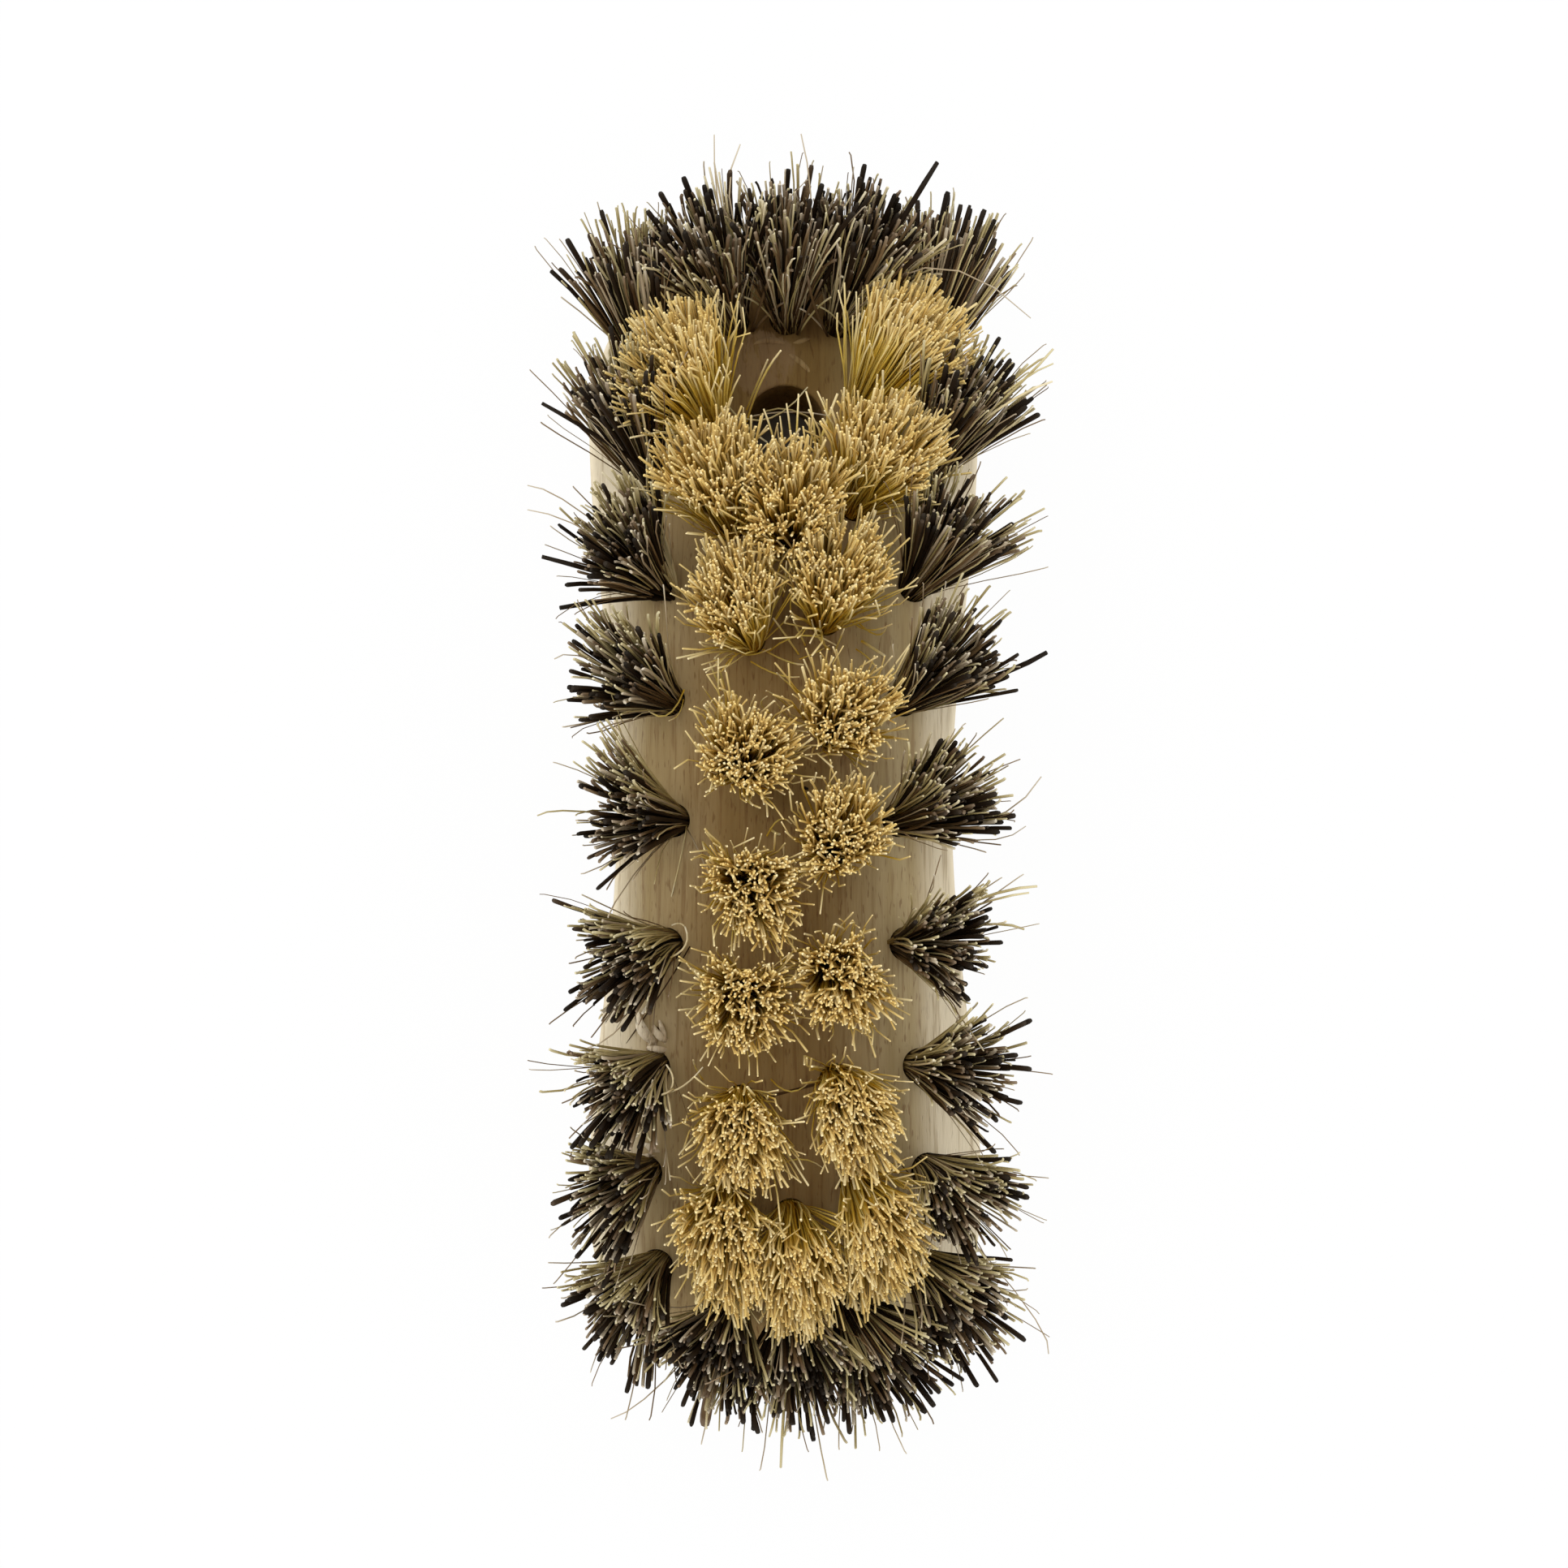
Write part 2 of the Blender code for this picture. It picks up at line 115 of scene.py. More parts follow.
class NodeBook:
    """Writes the node tree of one material or of the world."""

    def __init__(self, holder: bpy.types.Material | bpy.types.World) -> None:
        """Start an empty node tree."""
        holder.use_nodes = True
        self.holder = holder
        self.nodes = holder.node_tree.nodes
        self.links = holder.node_tree.links
        self.nodes.clear()

    def feed(self, socket: bpy.types.NodeSocket, value: Any) -> None:
        """Link a socket, or set its value."""
        if isinstance(value, Link):
            self.links.new(value.socket, socket)
        elif socket.type == "RGBA" and len(value) == 3:
            socket.default_value = (*value, 1.0)
        else:
            socket.default_value = value

    def node(self, kind: str, settings: dict[str, Any] | None = None,
             sockets: dict[str | int, Any] | None = None, output: str | int = 0) -> Link:
        """Add a node.

        Args:
            kind: The node's type.
            settings: What is set before the sockets; "stops" are a colour ramp's.
            sockets: Values or links by socket.
            output: The output that is returned.

        Returns:
            The chosen output.
        """
        made = self.nodes.new(kind)
        for key, value in (settings or {}).items():
            if key == "stops":
                self.set_stops(made.color_ramp, value)
            else:
                setattr(made, key, value)
        for key, value in (sockets or {}).items():
            self.feed(made.inputs[key], value)
        return Link(self, made.outputs[output]) if len(made.outputs) else None

    def set_stops(self, ramp: bpy.types.ColorRamp, stops: Stops) -> None:
        """Give a colour ramp its stops, in order."""
        ramp.elements.remove(ramp.elements[1])
        for index, (place, colour) in enumerate(stops):
            stop = ramp.elements[0] if index == 0 else ramp.elements.new(place)
            stop.position = place
            stop.color = (*colour, 1.0)

    def maths(self, operation: str, *values: Link | float) -> Link:
        """One Math node."""
        return self.node("ShaderNodeMath", {"operation": operation}, dict(enumerate(values)))

    def band(self, value: Link, low: float, high: float) -> Link:
        """Rise smoothly from 0 to 1 between two values."""
        return self.node("ShaderNodeMapRange", {"interpolation_type": "SMOOTHSTEP"},
                         {"Value": value, "From Min": low, "From Max": high})

    def mix(self, share: Link | float, first: Link | Colour, second: Link | Colour,
            mode: str = "MIX") -> Link:
        """Blend two colours."""
        return self.node("ShaderNodeMix", {"data_type": "RGBA", "blend_type": mode},
                         {0: share, 6: first, 7: second}, output=2)

    def ramp(self, value: Link, stops: Stops) -> Link:
        """Look a value up in a colour ramp."""
        return self.node("ShaderNodeValToRGB", {"stops": stops}, {"Fac": value})

    def axes(self, vector: Link) -> list[Link]:
        """Split coordinates into X, Y and Z."""
        split = self.node("ShaderNodeSeparateXYZ", sockets={"Vector": vector})
        return [Link(self, output) for output in split.socket.node.outputs]

    def scaled(self, vector: Link, scale: Triple) -> Link:
        """Stretch coordinates."""
        return self.node("ShaderNodeMapping", sockets={"Vector": vector, "Scale": scale})

    def noise(self, vector: Link, detail: float = 2.0, roughness: float = 0.5, bend: float = 0.0) -> Link:
        """Noise of one cell to each unit of the coordinates."""
        return self.node("ShaderNodeTexNoise", sockets={
            "Vector": vector, "Scale": 1.0, "Detail": detail, "Roughness": roughness, "Distortion": bend})

    def surface(self, sockets: dict[str, Any]) -> bpy.types.Material:
        """Finish with a Principled shader and return the material."""
        shader = self.node("ShaderNodeBsdfPrincipled", sockets=sockets)
        self.node("ShaderNodeOutputMaterial", sockets={"Surface": shader})
        return self.holder


@dataclass(frozen=True)
class BeechFinish:
    """Raw sanded beech with lengthwise streaks and short flecks, in object coordinates.

    A noise is its stretch, detail, roughness and bend. A spot is its place, how far its rim
    wanders and the two distances between which it fades. A fade is two places. Beside the grain
    the finish paints shade in the middle of the face and by the end tufts, a stain with painted
    shade round the hanging hole, and a highlight along the outer edges.
    """

    name: str = "raw_beech_grain"
    light: Colour = (0.51, 0.408, 0.232)
    deep: Colour = (0.42, 0.32, 0.16)
    streak: Colour = (0.30, 0.20, 0.10)
    fleck: Colour = (0.26, 0.165, 0.085)
    worn: Colour = (0.68, 0.57, 0.41)
    # The next four colours paint light: a highlight on the outer edges, shade in the middle of the face, a
    # stain with painted shade round the hanging hole, and shade by the end tufts.
    edge: Colour = (0.84, 0.74, 0.55)
    middle_shade: Colour = (0.675, 0.535, 0.345)
    stain_and_shade: Colour = (0.585, 0.55, 0.43)
    end_shade: Colour = (0.46, 0.38, 0.30)
    shade: float = 1.0
    shade_tint: Colour = (1.0, 0.82, 0.66)
    noises: tuple = (
        ((150, 14, 150), 3.0, 0.55, 0.6), ((1100, 55, 1100), 3.0, 0.6, 0.3), ((3800, 210, 3800), 2.0, 0.6),
        ((2300, 420, 2300), 1.0, 0.5), ((60, 45, 60), 3.0, 0.6), ((620, 170, 620), 3.0, 0.65, 1.6),
    )
    # The first spot is a stain with painted shade round the hanging hole, the second a fainter darker patch
    # near the middle, the third torn grain.
    stain_and_shade_spot: tuple = ((0.0, 0.080, 0.021), 0.01, (0.012, 0.027))
    dull_spot: tuple = ((0.0015, 0.0050, 0.021), 0.006, (0.005, 0.013))
    torn_spot: tuple = ((-0.0035, 0.0785, 0.021), 0.005, (0.0075, 0.0105))
    wander: float = 0.006
    # Fades of the painted middle shade, the painted edge highlight and the painted shade by the end tufts,
    # in that order.
    middle_shade_fade: Pair = (0.009, 0.027)
    lit_rim_fade: Pair = (0.0235, 0.0305)
    lit_rim_rise: Pair = (0.010, 0.0165)
    end_shade_in: Pair = (0.0825, 0.0885)
    end_shade_out: Pair = (0.090, 0.096)
    relief: float = 0.00022

    def near(self, book: NodeBook, place: Link, patches: Link, spot: tuple) -> Link:
        """1 at a spot and 0 away from it."""
        middle, wander, fade = spot
        gap = book.node("ShaderNodeVectorMath", {"operation": "DISTANCE"},
                        {0: place, 1: middle}, output="Value")
        return 1.0 - book.band(gap + patches * wander, *fade)

    def material(self) -> bpy.types.Material:
        """Write the wood's nodes."""
        book = NodeBook(bpy.data.materials.new(self.name))
        place = book.node("ShaderNodeTexCoord", output="Object")
        bands, streaks, fibres, flecks, patches, tears = (
            book.noise(book.scaled(place, stretch), *settings) for stretch, *settings in self.noises)
        specks = book.band(flecks, 0.61, 0.73)
        colour = book.mix(book.band(bands, 0.35, 0.68), self.light, self.deep)
        for share, tint in (
                (book.band(patches, 0.55, 0.8) * 0.3, self.worn),
                (book.band(streaks, 0.49, 0.68) * 0.68, self.streak),
                (specks * 0.68, self.fleck),
                (book.band(fibres, 0.35, 0.75) * 0.16, self.streak)):
            colour = book.mix(share, colour, tint)
        right, along, rise = book.axes(place)
        across = book.maths("ABSOLUTE", right)
        # Painted shade: the middle of the face, between the tufts, is multiplied darker and warmer, reaching
        # a little further out on the -X side.
        middle_shade = 1.0 - book.band(across + right * 0.22 + patches * self.wander, *self.middle_shade_fade)
        # A darker patch round the hanging hole, partly a stain and partly painted shade from the tufts
        # around it, and a fainter darker patch near the middle of the face.
        stain_and_shade = book.maths("MAXIMUM", self.near(book, place, patches, self.stain_and_shade_spot) * 0.9,
                             self.near(book, place, patches, self.dull_spot) * 0.6)
        # Painted shade: a band across the block from about 80 to 95 mm towards +Y, round the end row of
        # tufts, is multiplied darker.
        end_shade = book.band(along + patches * self.wander, *self.end_shade_in) * (
            1.0 - book.band(along, *self.end_shade_out))
        for share, tint in (
                (middle_shade * 0.9, self.middle_shade), (stain_and_shade, self.stain_and_shade), (end_shade * 0.8, self.end_shade)):
            colour = book.mix(share, colour, tint, "MULTIPLY")
        # Painted highlight: the wood is lightened towards the outer edges, sooner on the +X side and more at
        # the top of the side walls.
        rim = book.band(across + book.maths("MAXIMUM", right, 0.0) * 0.12, *self.lit_rim_fade)
        rim = rim * (0.48 + book.band(rise, *self.lit_rim_rise) * 0.4)
        colour = book.mix(rim * (1.0 - book.band(streaks, 0.5, 0.66) * 0.5), colour, self.edge)
        torn = self.near(book, place, patches, self.torn_spot) * tears
        colour = book.mix(book.band(torn, 0.32, 0.48) * 0.55, colour, self.fleck)
        # Painted shade: below a shade of 1 the whole finish is multiplied darker and warmer.
        if self.shade < 1.0:
            colour = book.mix(1.0, colour, tuple(self.shade * part for part in self.shade_tint), "MULTIPLY")
        height = fibres * 0.5 + streaks * 0.35 - specks * 0.3 - torn * 2.5
        bump = book.node("ShaderNodeBump", sockets={
            "Strength": 0.55, "Distance": self.relief, "Height": height})
        return book.surface({
            "Base Color": colour, "Roughness": 0.62 + streaks * 0.22, "Normal": bump,
            "Specular IOR Level": 0.08,
        })


@dataclass(frozen=True)
class FibreFinish:
    """Plant fibre coloured by the strand's own shade and by the place along it.

    The strand map holds the shade in U and the place along the strand in V. The root's
    colours, painted shade deep in the tuft, fade out below the root end, and the cut end's fade in
    above the tip start, as the cut end's own paler colour and a painted highlight up the strand's top.
    """

    name: str
    root: Stops
    body: Stops
    cut: Stops
    shaded_root_end: float
    lit_tip_start: float
    roughness: float
    specular: float
    mottling: float = 0.55
    mottle_stretch: Triple = (46, 9, 1)
    mottle_stops: Stops = ((0.3, (0.62, 0.6, 0.56)), (0.7, (1.0, 1.0, 1.0)))

    def material(self) -> bpy.types.Material:
        """Write the fibre's nodes."""
        book = NodeBook(bpy.data.materials.new(self.name))
        strand = book.node("ShaderNodeUVMap", {"uv_map": "strand"})
        shade, along, _ = book.axes(strand)
        mottle = book.noise(book.scaled(strand, self.mottle_stretch), 2.0, 0.6)
        root, body, cut = (book.ramp(shade, stops) for stops in (self.root, self.body, self.cut))
        # Painted shade: darker, warmer root colours towards the foot of the strand.
        colour = book.mix(book.band(along, 0.2, self.shaded_root_end), root, body)
        # The cut end's paler colour, which also runs over the strand's top part as a painted highlight.
        colour = book.mix(book.band(along, self.lit_tip_start, 0.97), colour, cut)
        colour = book.mix(self.mottling, colour, book.ramp(mottle, self.mottle_stops), "MULTIPLY")
        return book.surface({
            "Base Color": colour, "Roughness": self.roughness + mottle * 0.25,
            "Specular IOR Level": self.specular,
        })


# In both fibre finishes the root stops are painted shade deep in the tuft; the cut stops give the cut end's
# colour and a painted highlight up the tip.
PALE_FINISH = FibreFinish(
    name="golden_plant_fibre",
    root=((0.0, (0.54, 0.28, 0.012)), (0.5, (0.66, 0.375, 0.022)), (1.0, (0.74, 0.475, 0.05))),
    body=((0.0, (0.595, 0.32, 0.018)), (0.2, (0.71, 0.435, 0.036)), (0.55, (0.795, 0.555, 0.082)),
          (0.85, (0.855, 0.66, 0.165)), (1.0, (0.89, 0.74, 0.33))),
    cut=((0.0, (0.86, 0.61, 0.20)), (0.5, (0.92, 0.72, 0.31)), (1.0, (0.97, 0.84, 0.51))),
    shaded_root_end=0.6, lit_tip_start=0.76, roughness=0.6, specular=0.04, mottling=0.4,
)

DARK_FINISH = FibreFinish(
    name="dark_plant_stalks",
    root=((0.0, (0.012, 0.005, 0.001)), (0.2, (0.024, 0.010, 0.002)), (0.4, (0.045, 0.020, 0.005)),
          (0.6, (0.12, 0.074, 0.020)), (0.8, (0.22, 0.145, 0.040)), (1.0, (0.44, 0.32, 0.13))),
    body=((0.0, (0.011, 0.006, 0.003)), (0.18, (0.026, 0.014, 0.006)), (0.22, (0.070, 0.036, 0.013)),
          (0.38, (0.24, 0.152, 0.07)), (0.42, (0.34, 0.25, 0.15)), (0.58, (0.53, 0.43, 0.285)),
          (0.62, (0.37, 0.285, 0.11)), (0.78, (0.63, 0.525, 0.26)), (0.82, (0.68, 0.56, 0.30)),
          (1.0, (0.86, 0.73, 0.46))),
    cut=((0.0, (0.014, 0.011, 0.008)), (0.18, (0.040, 0.030, 0.021)), (0.22, (0.13, 0.085, 0.05)),
         (0.38, (0.34, 0.255, 0.17)), (0.42, (0.50, 0.41, 0.29)), (0.58, (0.72, 0.64, 0.50)),
         (0.62, (0.48, 0.40, 0.21)), (0.78, (0.76, 0.68, 0.43)), (0.82, (0.78, 0.69, 0.46)),
         (1.0, (0.90, 0.81, 0.60))),
    shaded_root_end=0.46, lit_tip_start=0.84, roughness=0.55, specular=0.08,
)


def mesh_of(name: str, bm: bmesh.types.BMesh) -> bpy.types.Mesh:
    """Turn a bmesh into a mesh."""
    mesh = bpy.data.meshes.new(name)
    bm.to_mesh(mesh)
    bm.free()
    return mesh


def placed(name: str, data: Any) -> bpy.types.Object:
    """Put an object into the scene."""
    made = bpy.data.objects.new(name, data)
    bpy.context.scene.collection.objects.link(made)
    return made


@dataclass(frozen=True)
class PhotoCamera:
    """The photograph's viewpoint."""

    place: Vector = Vector((-0.01774, -0.00860, 0.3817))
    turn: Triple = (0.037, -0.048, -0.002)
    focal_pixels: float = 2572.35
    frame_pixels: float = 1932.0
    sensor_width: float = 36.0
    below: Pair = (842.0, 1061.0)

    def matrix(self) -> Matrix:
        """The camera's place and turn in the world."""
        x, y, z = self.turn
        turn = Matrix.Rotation(z, 4, "Z") @ Matrix.Rotation(y, 4, "Y") @ Matrix.Rotation(x, 4, "X")
        return Matrix.Translation(self.place) @ turn

    def point(self, x: float, y: float, height: float) -> Vector:
        """Find where a pixel's line of sight passes a height.

        Args:
            x: Pixel from the photograph's left edge.
            y: Pixel from its top edge.
            height: Height above the floor, in metres.

        Returns:
            The point in the world.
        """
        half = self.frame_pixels / 2
        sight = self.matrix().to_3x3() @ Vector((x - half, half - y, -self.focal_pixels))
        return self.place + sight * ((height - self.place.z) / sight.z)

    def build(self) -> None:
        """Make the camera and look through it."""
        data = bpy.data.cameras.new("photo_camera")
        data.sensor_fit = "HORIZONTAL"
        data.sensor_width = self.sensor_width
        data.lens = self.focal_pixels / self.frame_pixels * self.sensor_width
        data.clip_start = 0.01
        camera = placed("photo_camera", data)
        camera.matrix_world = self.matrix()
        bpy.context.scene.camera = camera


CAMERA = PhotoCamera()


def curve(start: np.ndarray, control: np.ndarray, end: np.ndarray, t: float | np.ndarray) -> np.ndarray:
    """Point of the curve from start to end that heads for control."""
    return start * (1 - t) ** 2 + control * 2 * t * (1 - t) + end * t ** 2


def kept_in_room(paths: np.ndarray, share: float = 0.028, margin: float = 0.5 * MM) -> np.ndarray:
    """Bend strands back into the solids' box and a little more, their feet left in place.

    Args:
        paths: Ring centres, by strand, ring and axis.
        share: How much of each side may stand past the box.
        margin: Room that is left for the strands' own widths.

    Returns:
        The bent paths.
    """
    low, high = (Vector(corner) for corner in cad_box)
    spare = (high - low) * share - Vector((margin, margin, margin))
    low, high = np.array(low - spare), np.array(high + spare)
    steps = np.linspace(0, 1, paths.shape[1])[None, :, None] ** 2
    over = np.maximum(paths.max(axis=1) - high, 0) + np.minimum(paths.min(axis=1) - low, 0)
    return np.clip(paths - over[:, None, :] * steps, low, high)


def link_piece(name: str, mesh: bpy.types.Mesh) -> bpy.types.Object:
    """Put a piece into the scene, on the brush.

    Args:
        name: The piece's name.
        mesh: Its mesh, already in its place.

    Returns:
        The piece's object.
    """
    piece = placed(name, mesh)
    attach(piece, "root")
    return piece


@dataclass(frozen=True)
class BlockShape:
    """Sizes of the waisted block and the heights of its bristle face."""

    length: float = 0.200
    waist_width: float = 0.0587
    end_width: float = 0.0686
    thickness: float = 0.021
    end_round_length: float = 0.035
    end_round_power: float = 2.3
    swell_share: float = 0.70
    back_edge_round: float = 0.005
    shoulder_drop: float = 0.0042
    shoulder_width: float = 0.0128
    edge_round: float = 0.0016
    ridge_softening: float = 0.0014
    ring_inset: float = 0.0098
    hole_diameter: float = 0.006
    hole_depth: float = 0.013
    hanging_hole_diameter: float = 0.0135
    hanging_hole_share: float = 0.675
    hanging_hole_rim: float = 0.0006

    def half_width(self, y: float) -> float:
        """Half the width at a place along the block, its ends not yet rounded."""
        reach = min(abs(y) / (self.swell_share * self.length / 2), 1.0)
        swell = (self.end_width - self.waist_width) / 2
        return self.waist_width / 2 + swell * (1 - math.cos(math.pi * reach)) / 2

    def outline(self, side_steps: int, end_steps: int) -> list[Pair]:
        """Points of the outline, anticlockwise from the right end of the straight stretch."""
        straight = self.length / 2 - self.end_round_length
        exponent = 2 / self.end_round_power
        points = []
        for sign in (1, -1):
            for step in range(side_steps):
                y = straight * (2 * step / side_steps - 1)
                points.append((sign * self.half_width(y), sign * y))
            for step in range(end_steps):
                angle = math.pi * step / end_steps
                along = math.sin(angle) ** exponent if step else 0.0
                across = math.copysign(abs(math.cos(angle)) ** exponent, math.cos(angle))
                y = straight + self.end_round_length * along
                points.append((sign * self.half_width(y) * across, sign * y))
        return points

    def inset_at(self, x: float, y: float) -> float:
        """Distance from a point of the face to the outline."""
        return min(math.hypot(x - edge_x, y - edge_y) for edge_x, edge_y in self.outline(120, 144))

    def surface_height(self, inset: float) -> float:
        """Height of the bristle side at an inset from the outline, as the solid has it."""
        soft_rise = self.ridge_softening * self.shoulder_drop / self.shoulder_width / 2
        steps = (
            (self.edge_round / 4, self.edge_round / 2), (self.edge_round * 3 / 4, self.edge_round / 2),
            (self.shoulder_width - self.edge_round, self.shoulder_drop - self.edge_round - soft_rise),
            (self.ridge_softening, soft_rise),
        )
        reached, height = 0.0, self.thickness - self.shoulder_drop
        for step, rise in steps:
            if inset < reached + step:
                return height + rise * (inset - reached) / step
            reached += step
            height += rise
        return self.thickness

    def ring_place(self, y: float, side: int) -> Pair:
        """Place a side tuft at the ring's inset from the outline."""
        x = side * (self.half_width(y) - self.ring_inset)
        for _ in range(10):
            x -= side * (self.ring_inset - self.inset_at(x, y))
        return x, y


SHAPE = BlockShape()


@dataclass
class TuftSeat:
    """One tuft's name, the middle of its hole's mouth, its hole's direction and its middle tip."""

    name: str
    dark: bool
    mouth: Vector
    axis: Vector
    tip: Vector

    def aim(self, pixel: Pair, push: float = 1.024) -> None:
        """Turn the tuft's fan, but not its hole, to where the photograph shows its tips.

        Args:
            pixel: Where the middle of the tips is seen.
            push: How far out from the point below the viewpoint the true middle lies.
        """
        length = (self.tip - self.mouth).length
        foot_x, foot_y = CAMERA.below
        pixel = (foot_x + (pixel[0] - foot_x) * push, foot_y + (pixel[1] - foot_y) * push)
        for _ in range(3):
            seen = CAMERA.point(*pixel, self.tip.z)
            lean = (seen - self.mouth).xy
            self.tip = seen.xy.to_3d()
            self.tip.z = self.mouth.z + math.sqrt(length ** 2 - lean.length ** 2)

    @property
    def across(self) -> Vector:
        """Level direction in which the tuft leans, or +X where it hardly does."""
        lean = (self.tip - self.mouth).xy.to_3d()
        return lean.normalized() if self.dark else Vector((1, 0, 0))


@dataclass(frozen=True)
class TuftPlan:
    """Where the tufts stand, by shares of half the block's length and of half its widest width.

    A side row is the hole's and the tip's place along the block, then the pixels where the
    tips of the left and the right tuft are seen. A group's row is the hole, tip and pixel.
    """

    bristle_length: float = 0.028
    side_tip_share: float = 0.828
    pale_tilt_share: float = 0.5
    side_rows: tuple = (
        (0.765, 0.890, (776, 312), (1176, 284)), (0.585, 0.659, (750, 474), (1205, 478)),
        (0.395, 0.434, (757, 664), (1193, 640)), (0.195, 0.217, (752, 826), (1188, 803)),
        (-0.015, 0.000, (758, 998), (1185, 984)), (-0.230, -0.224, (750, 1190), (1182, 1162)),
        (-0.440, -0.442, (752, 1353), (1196, 1325)), (-0.620, -0.623, (738, 1484), (1196, 1482)),
        (-0.780, -0.804, (757, 1622), (1196, 1616)),
    )
    groups: tuple = (
        ("dark_top", (
            (-0.27, 0.858, -0.41, 0.956, 865, 285), (0.005, 0.863, 0.0, 0.972, 975, 262),
            (0.28, 0.858, 0.40, 0.960, 1080, 275),
        )),
        ("dark_bottom", (
            (-0.27, -0.850, -0.41, -0.885, 870, 1680), (0.02, -0.858, 0.02, -0.912, 985, 1700),
            (0.30, -0.850, 0.42, -0.901, 1095, 1690),
        )),
        ("pale_left", (
            (-0.190, 0.300, -0.277, 0.337, 896, 722), (-0.219, 0.075, -0.222, 0.084, 920, 926),
            (-0.204, -0.125, -0.187, -0.123, 926, 1099), (-0.219, -0.310, -0.242, -0.303, 914, 1236),
            (-0.233, -0.500, -0.280, -0.508, 909, 1410),
        )),
        ("pale_right", (
            (0.198, 0.335, 0.233, 0.383, 1036, 693), (0.233, 0.135, 0.268, 0.149, 1045, 875),
            (0.233, -0.065, 0.248, -0.059, 1036, 1022), (0.233, -0.270, 0.248, -0.272, 1036, 1209),
            (0.248, -0.465, 0.321, -0.477, 1055, 1386),
        )),
        ("pale_top", (
            (-0.379, 0.665, -0.598, 0.721, 815, 432), (-0.286, 0.500, -0.370, 0.539, 874, 571),
            (0.017, 0.470, 0.006, 0.500, 974, 623), (0.356, 0.535, 0.446, 0.586, 1102, 540),
            (0.379, 0.690, 0.563, 0.777, 1138, 392),
        )),
        ("pale_bottom", (
            (-0.306, -0.660, -0.373, -0.685, 888, 1543), (0.017, -0.695, 0.017, -0.713, 981, 1587),
            (0.350, -0.640, 0.431, -0.663, 1094, 1546),
        )),
    )

    def seat(self, name: str, hole: Pair, tip: Pair, pixel: Pair) -> TuftSeat:
        """Seat a tuft by its hole and the middle of its tips on the face plan, then aim it."""
        dark = "dark" in name
        mouth = Vector((*hole, SHAPE.surface_height(SHAPE.inset_at(*hole))))
        lean = Vector((*tip, 0)) - Vector((*hole, 0))
        top = mouth + lean + Vector((0, 0, math.sqrt(self.bristle_length ** 2 - lean.length ** 2)))
        tilt = 1.0 if dark else self.pale_tilt_share
        axis = Vector((0, 0, 1)).lerp((top - mouth).normalized(), tilt).normalized()
        seat = TuftSeat(name, dark, mouth, axis, top)
        seat.aim(pixel)
        return seat

    def seats(self) -> list[TuftSeat]:
        """List every tuft."""
        half_length, half_width = SHAPE.length / 2, SHAPE.end_width / 2
        made = []
        for side, side_name in enumerate(("left", "right")):
            sign = 2 * side - 1
            for index, (hole, tip, *pixels) in enumerate(self.side_rows, 1):
                place = (sign * self.side_tip_share * half_width, tip * half_length)
                ring = SHAPE.ring_place(hole * half_length, sign)
                made.append(self.seat(f"tuft_dark_{side_name}_{index}", ring, place, pixels[side]))
        for group, rows in self.groups:
            for index, (hole_x, hole_y, tip_x, tip_y, *pixel) in enumerate(rows, 1):
                hole = (hole_x * half_width, hole_y * half_length)
                tip = (tip_x * half_width, tip_y * half_length)
                made.append(self.seat(f"tuft_{group}_{index}", hole, tip, pixel))
        return made


def arc_steps(radius: float, last: float, count: int) -> list[Pair]:
    """Insets and rises round an eased edge, up to the last angle."""
    angles = [last * step / count for step in range(count + 1)]
    return [(radius * (math.cos(a) - math.cos(b)), radius * (math.sin(b) - math.sin(a)))
            for a, b in zip(angles, angles[1:])]


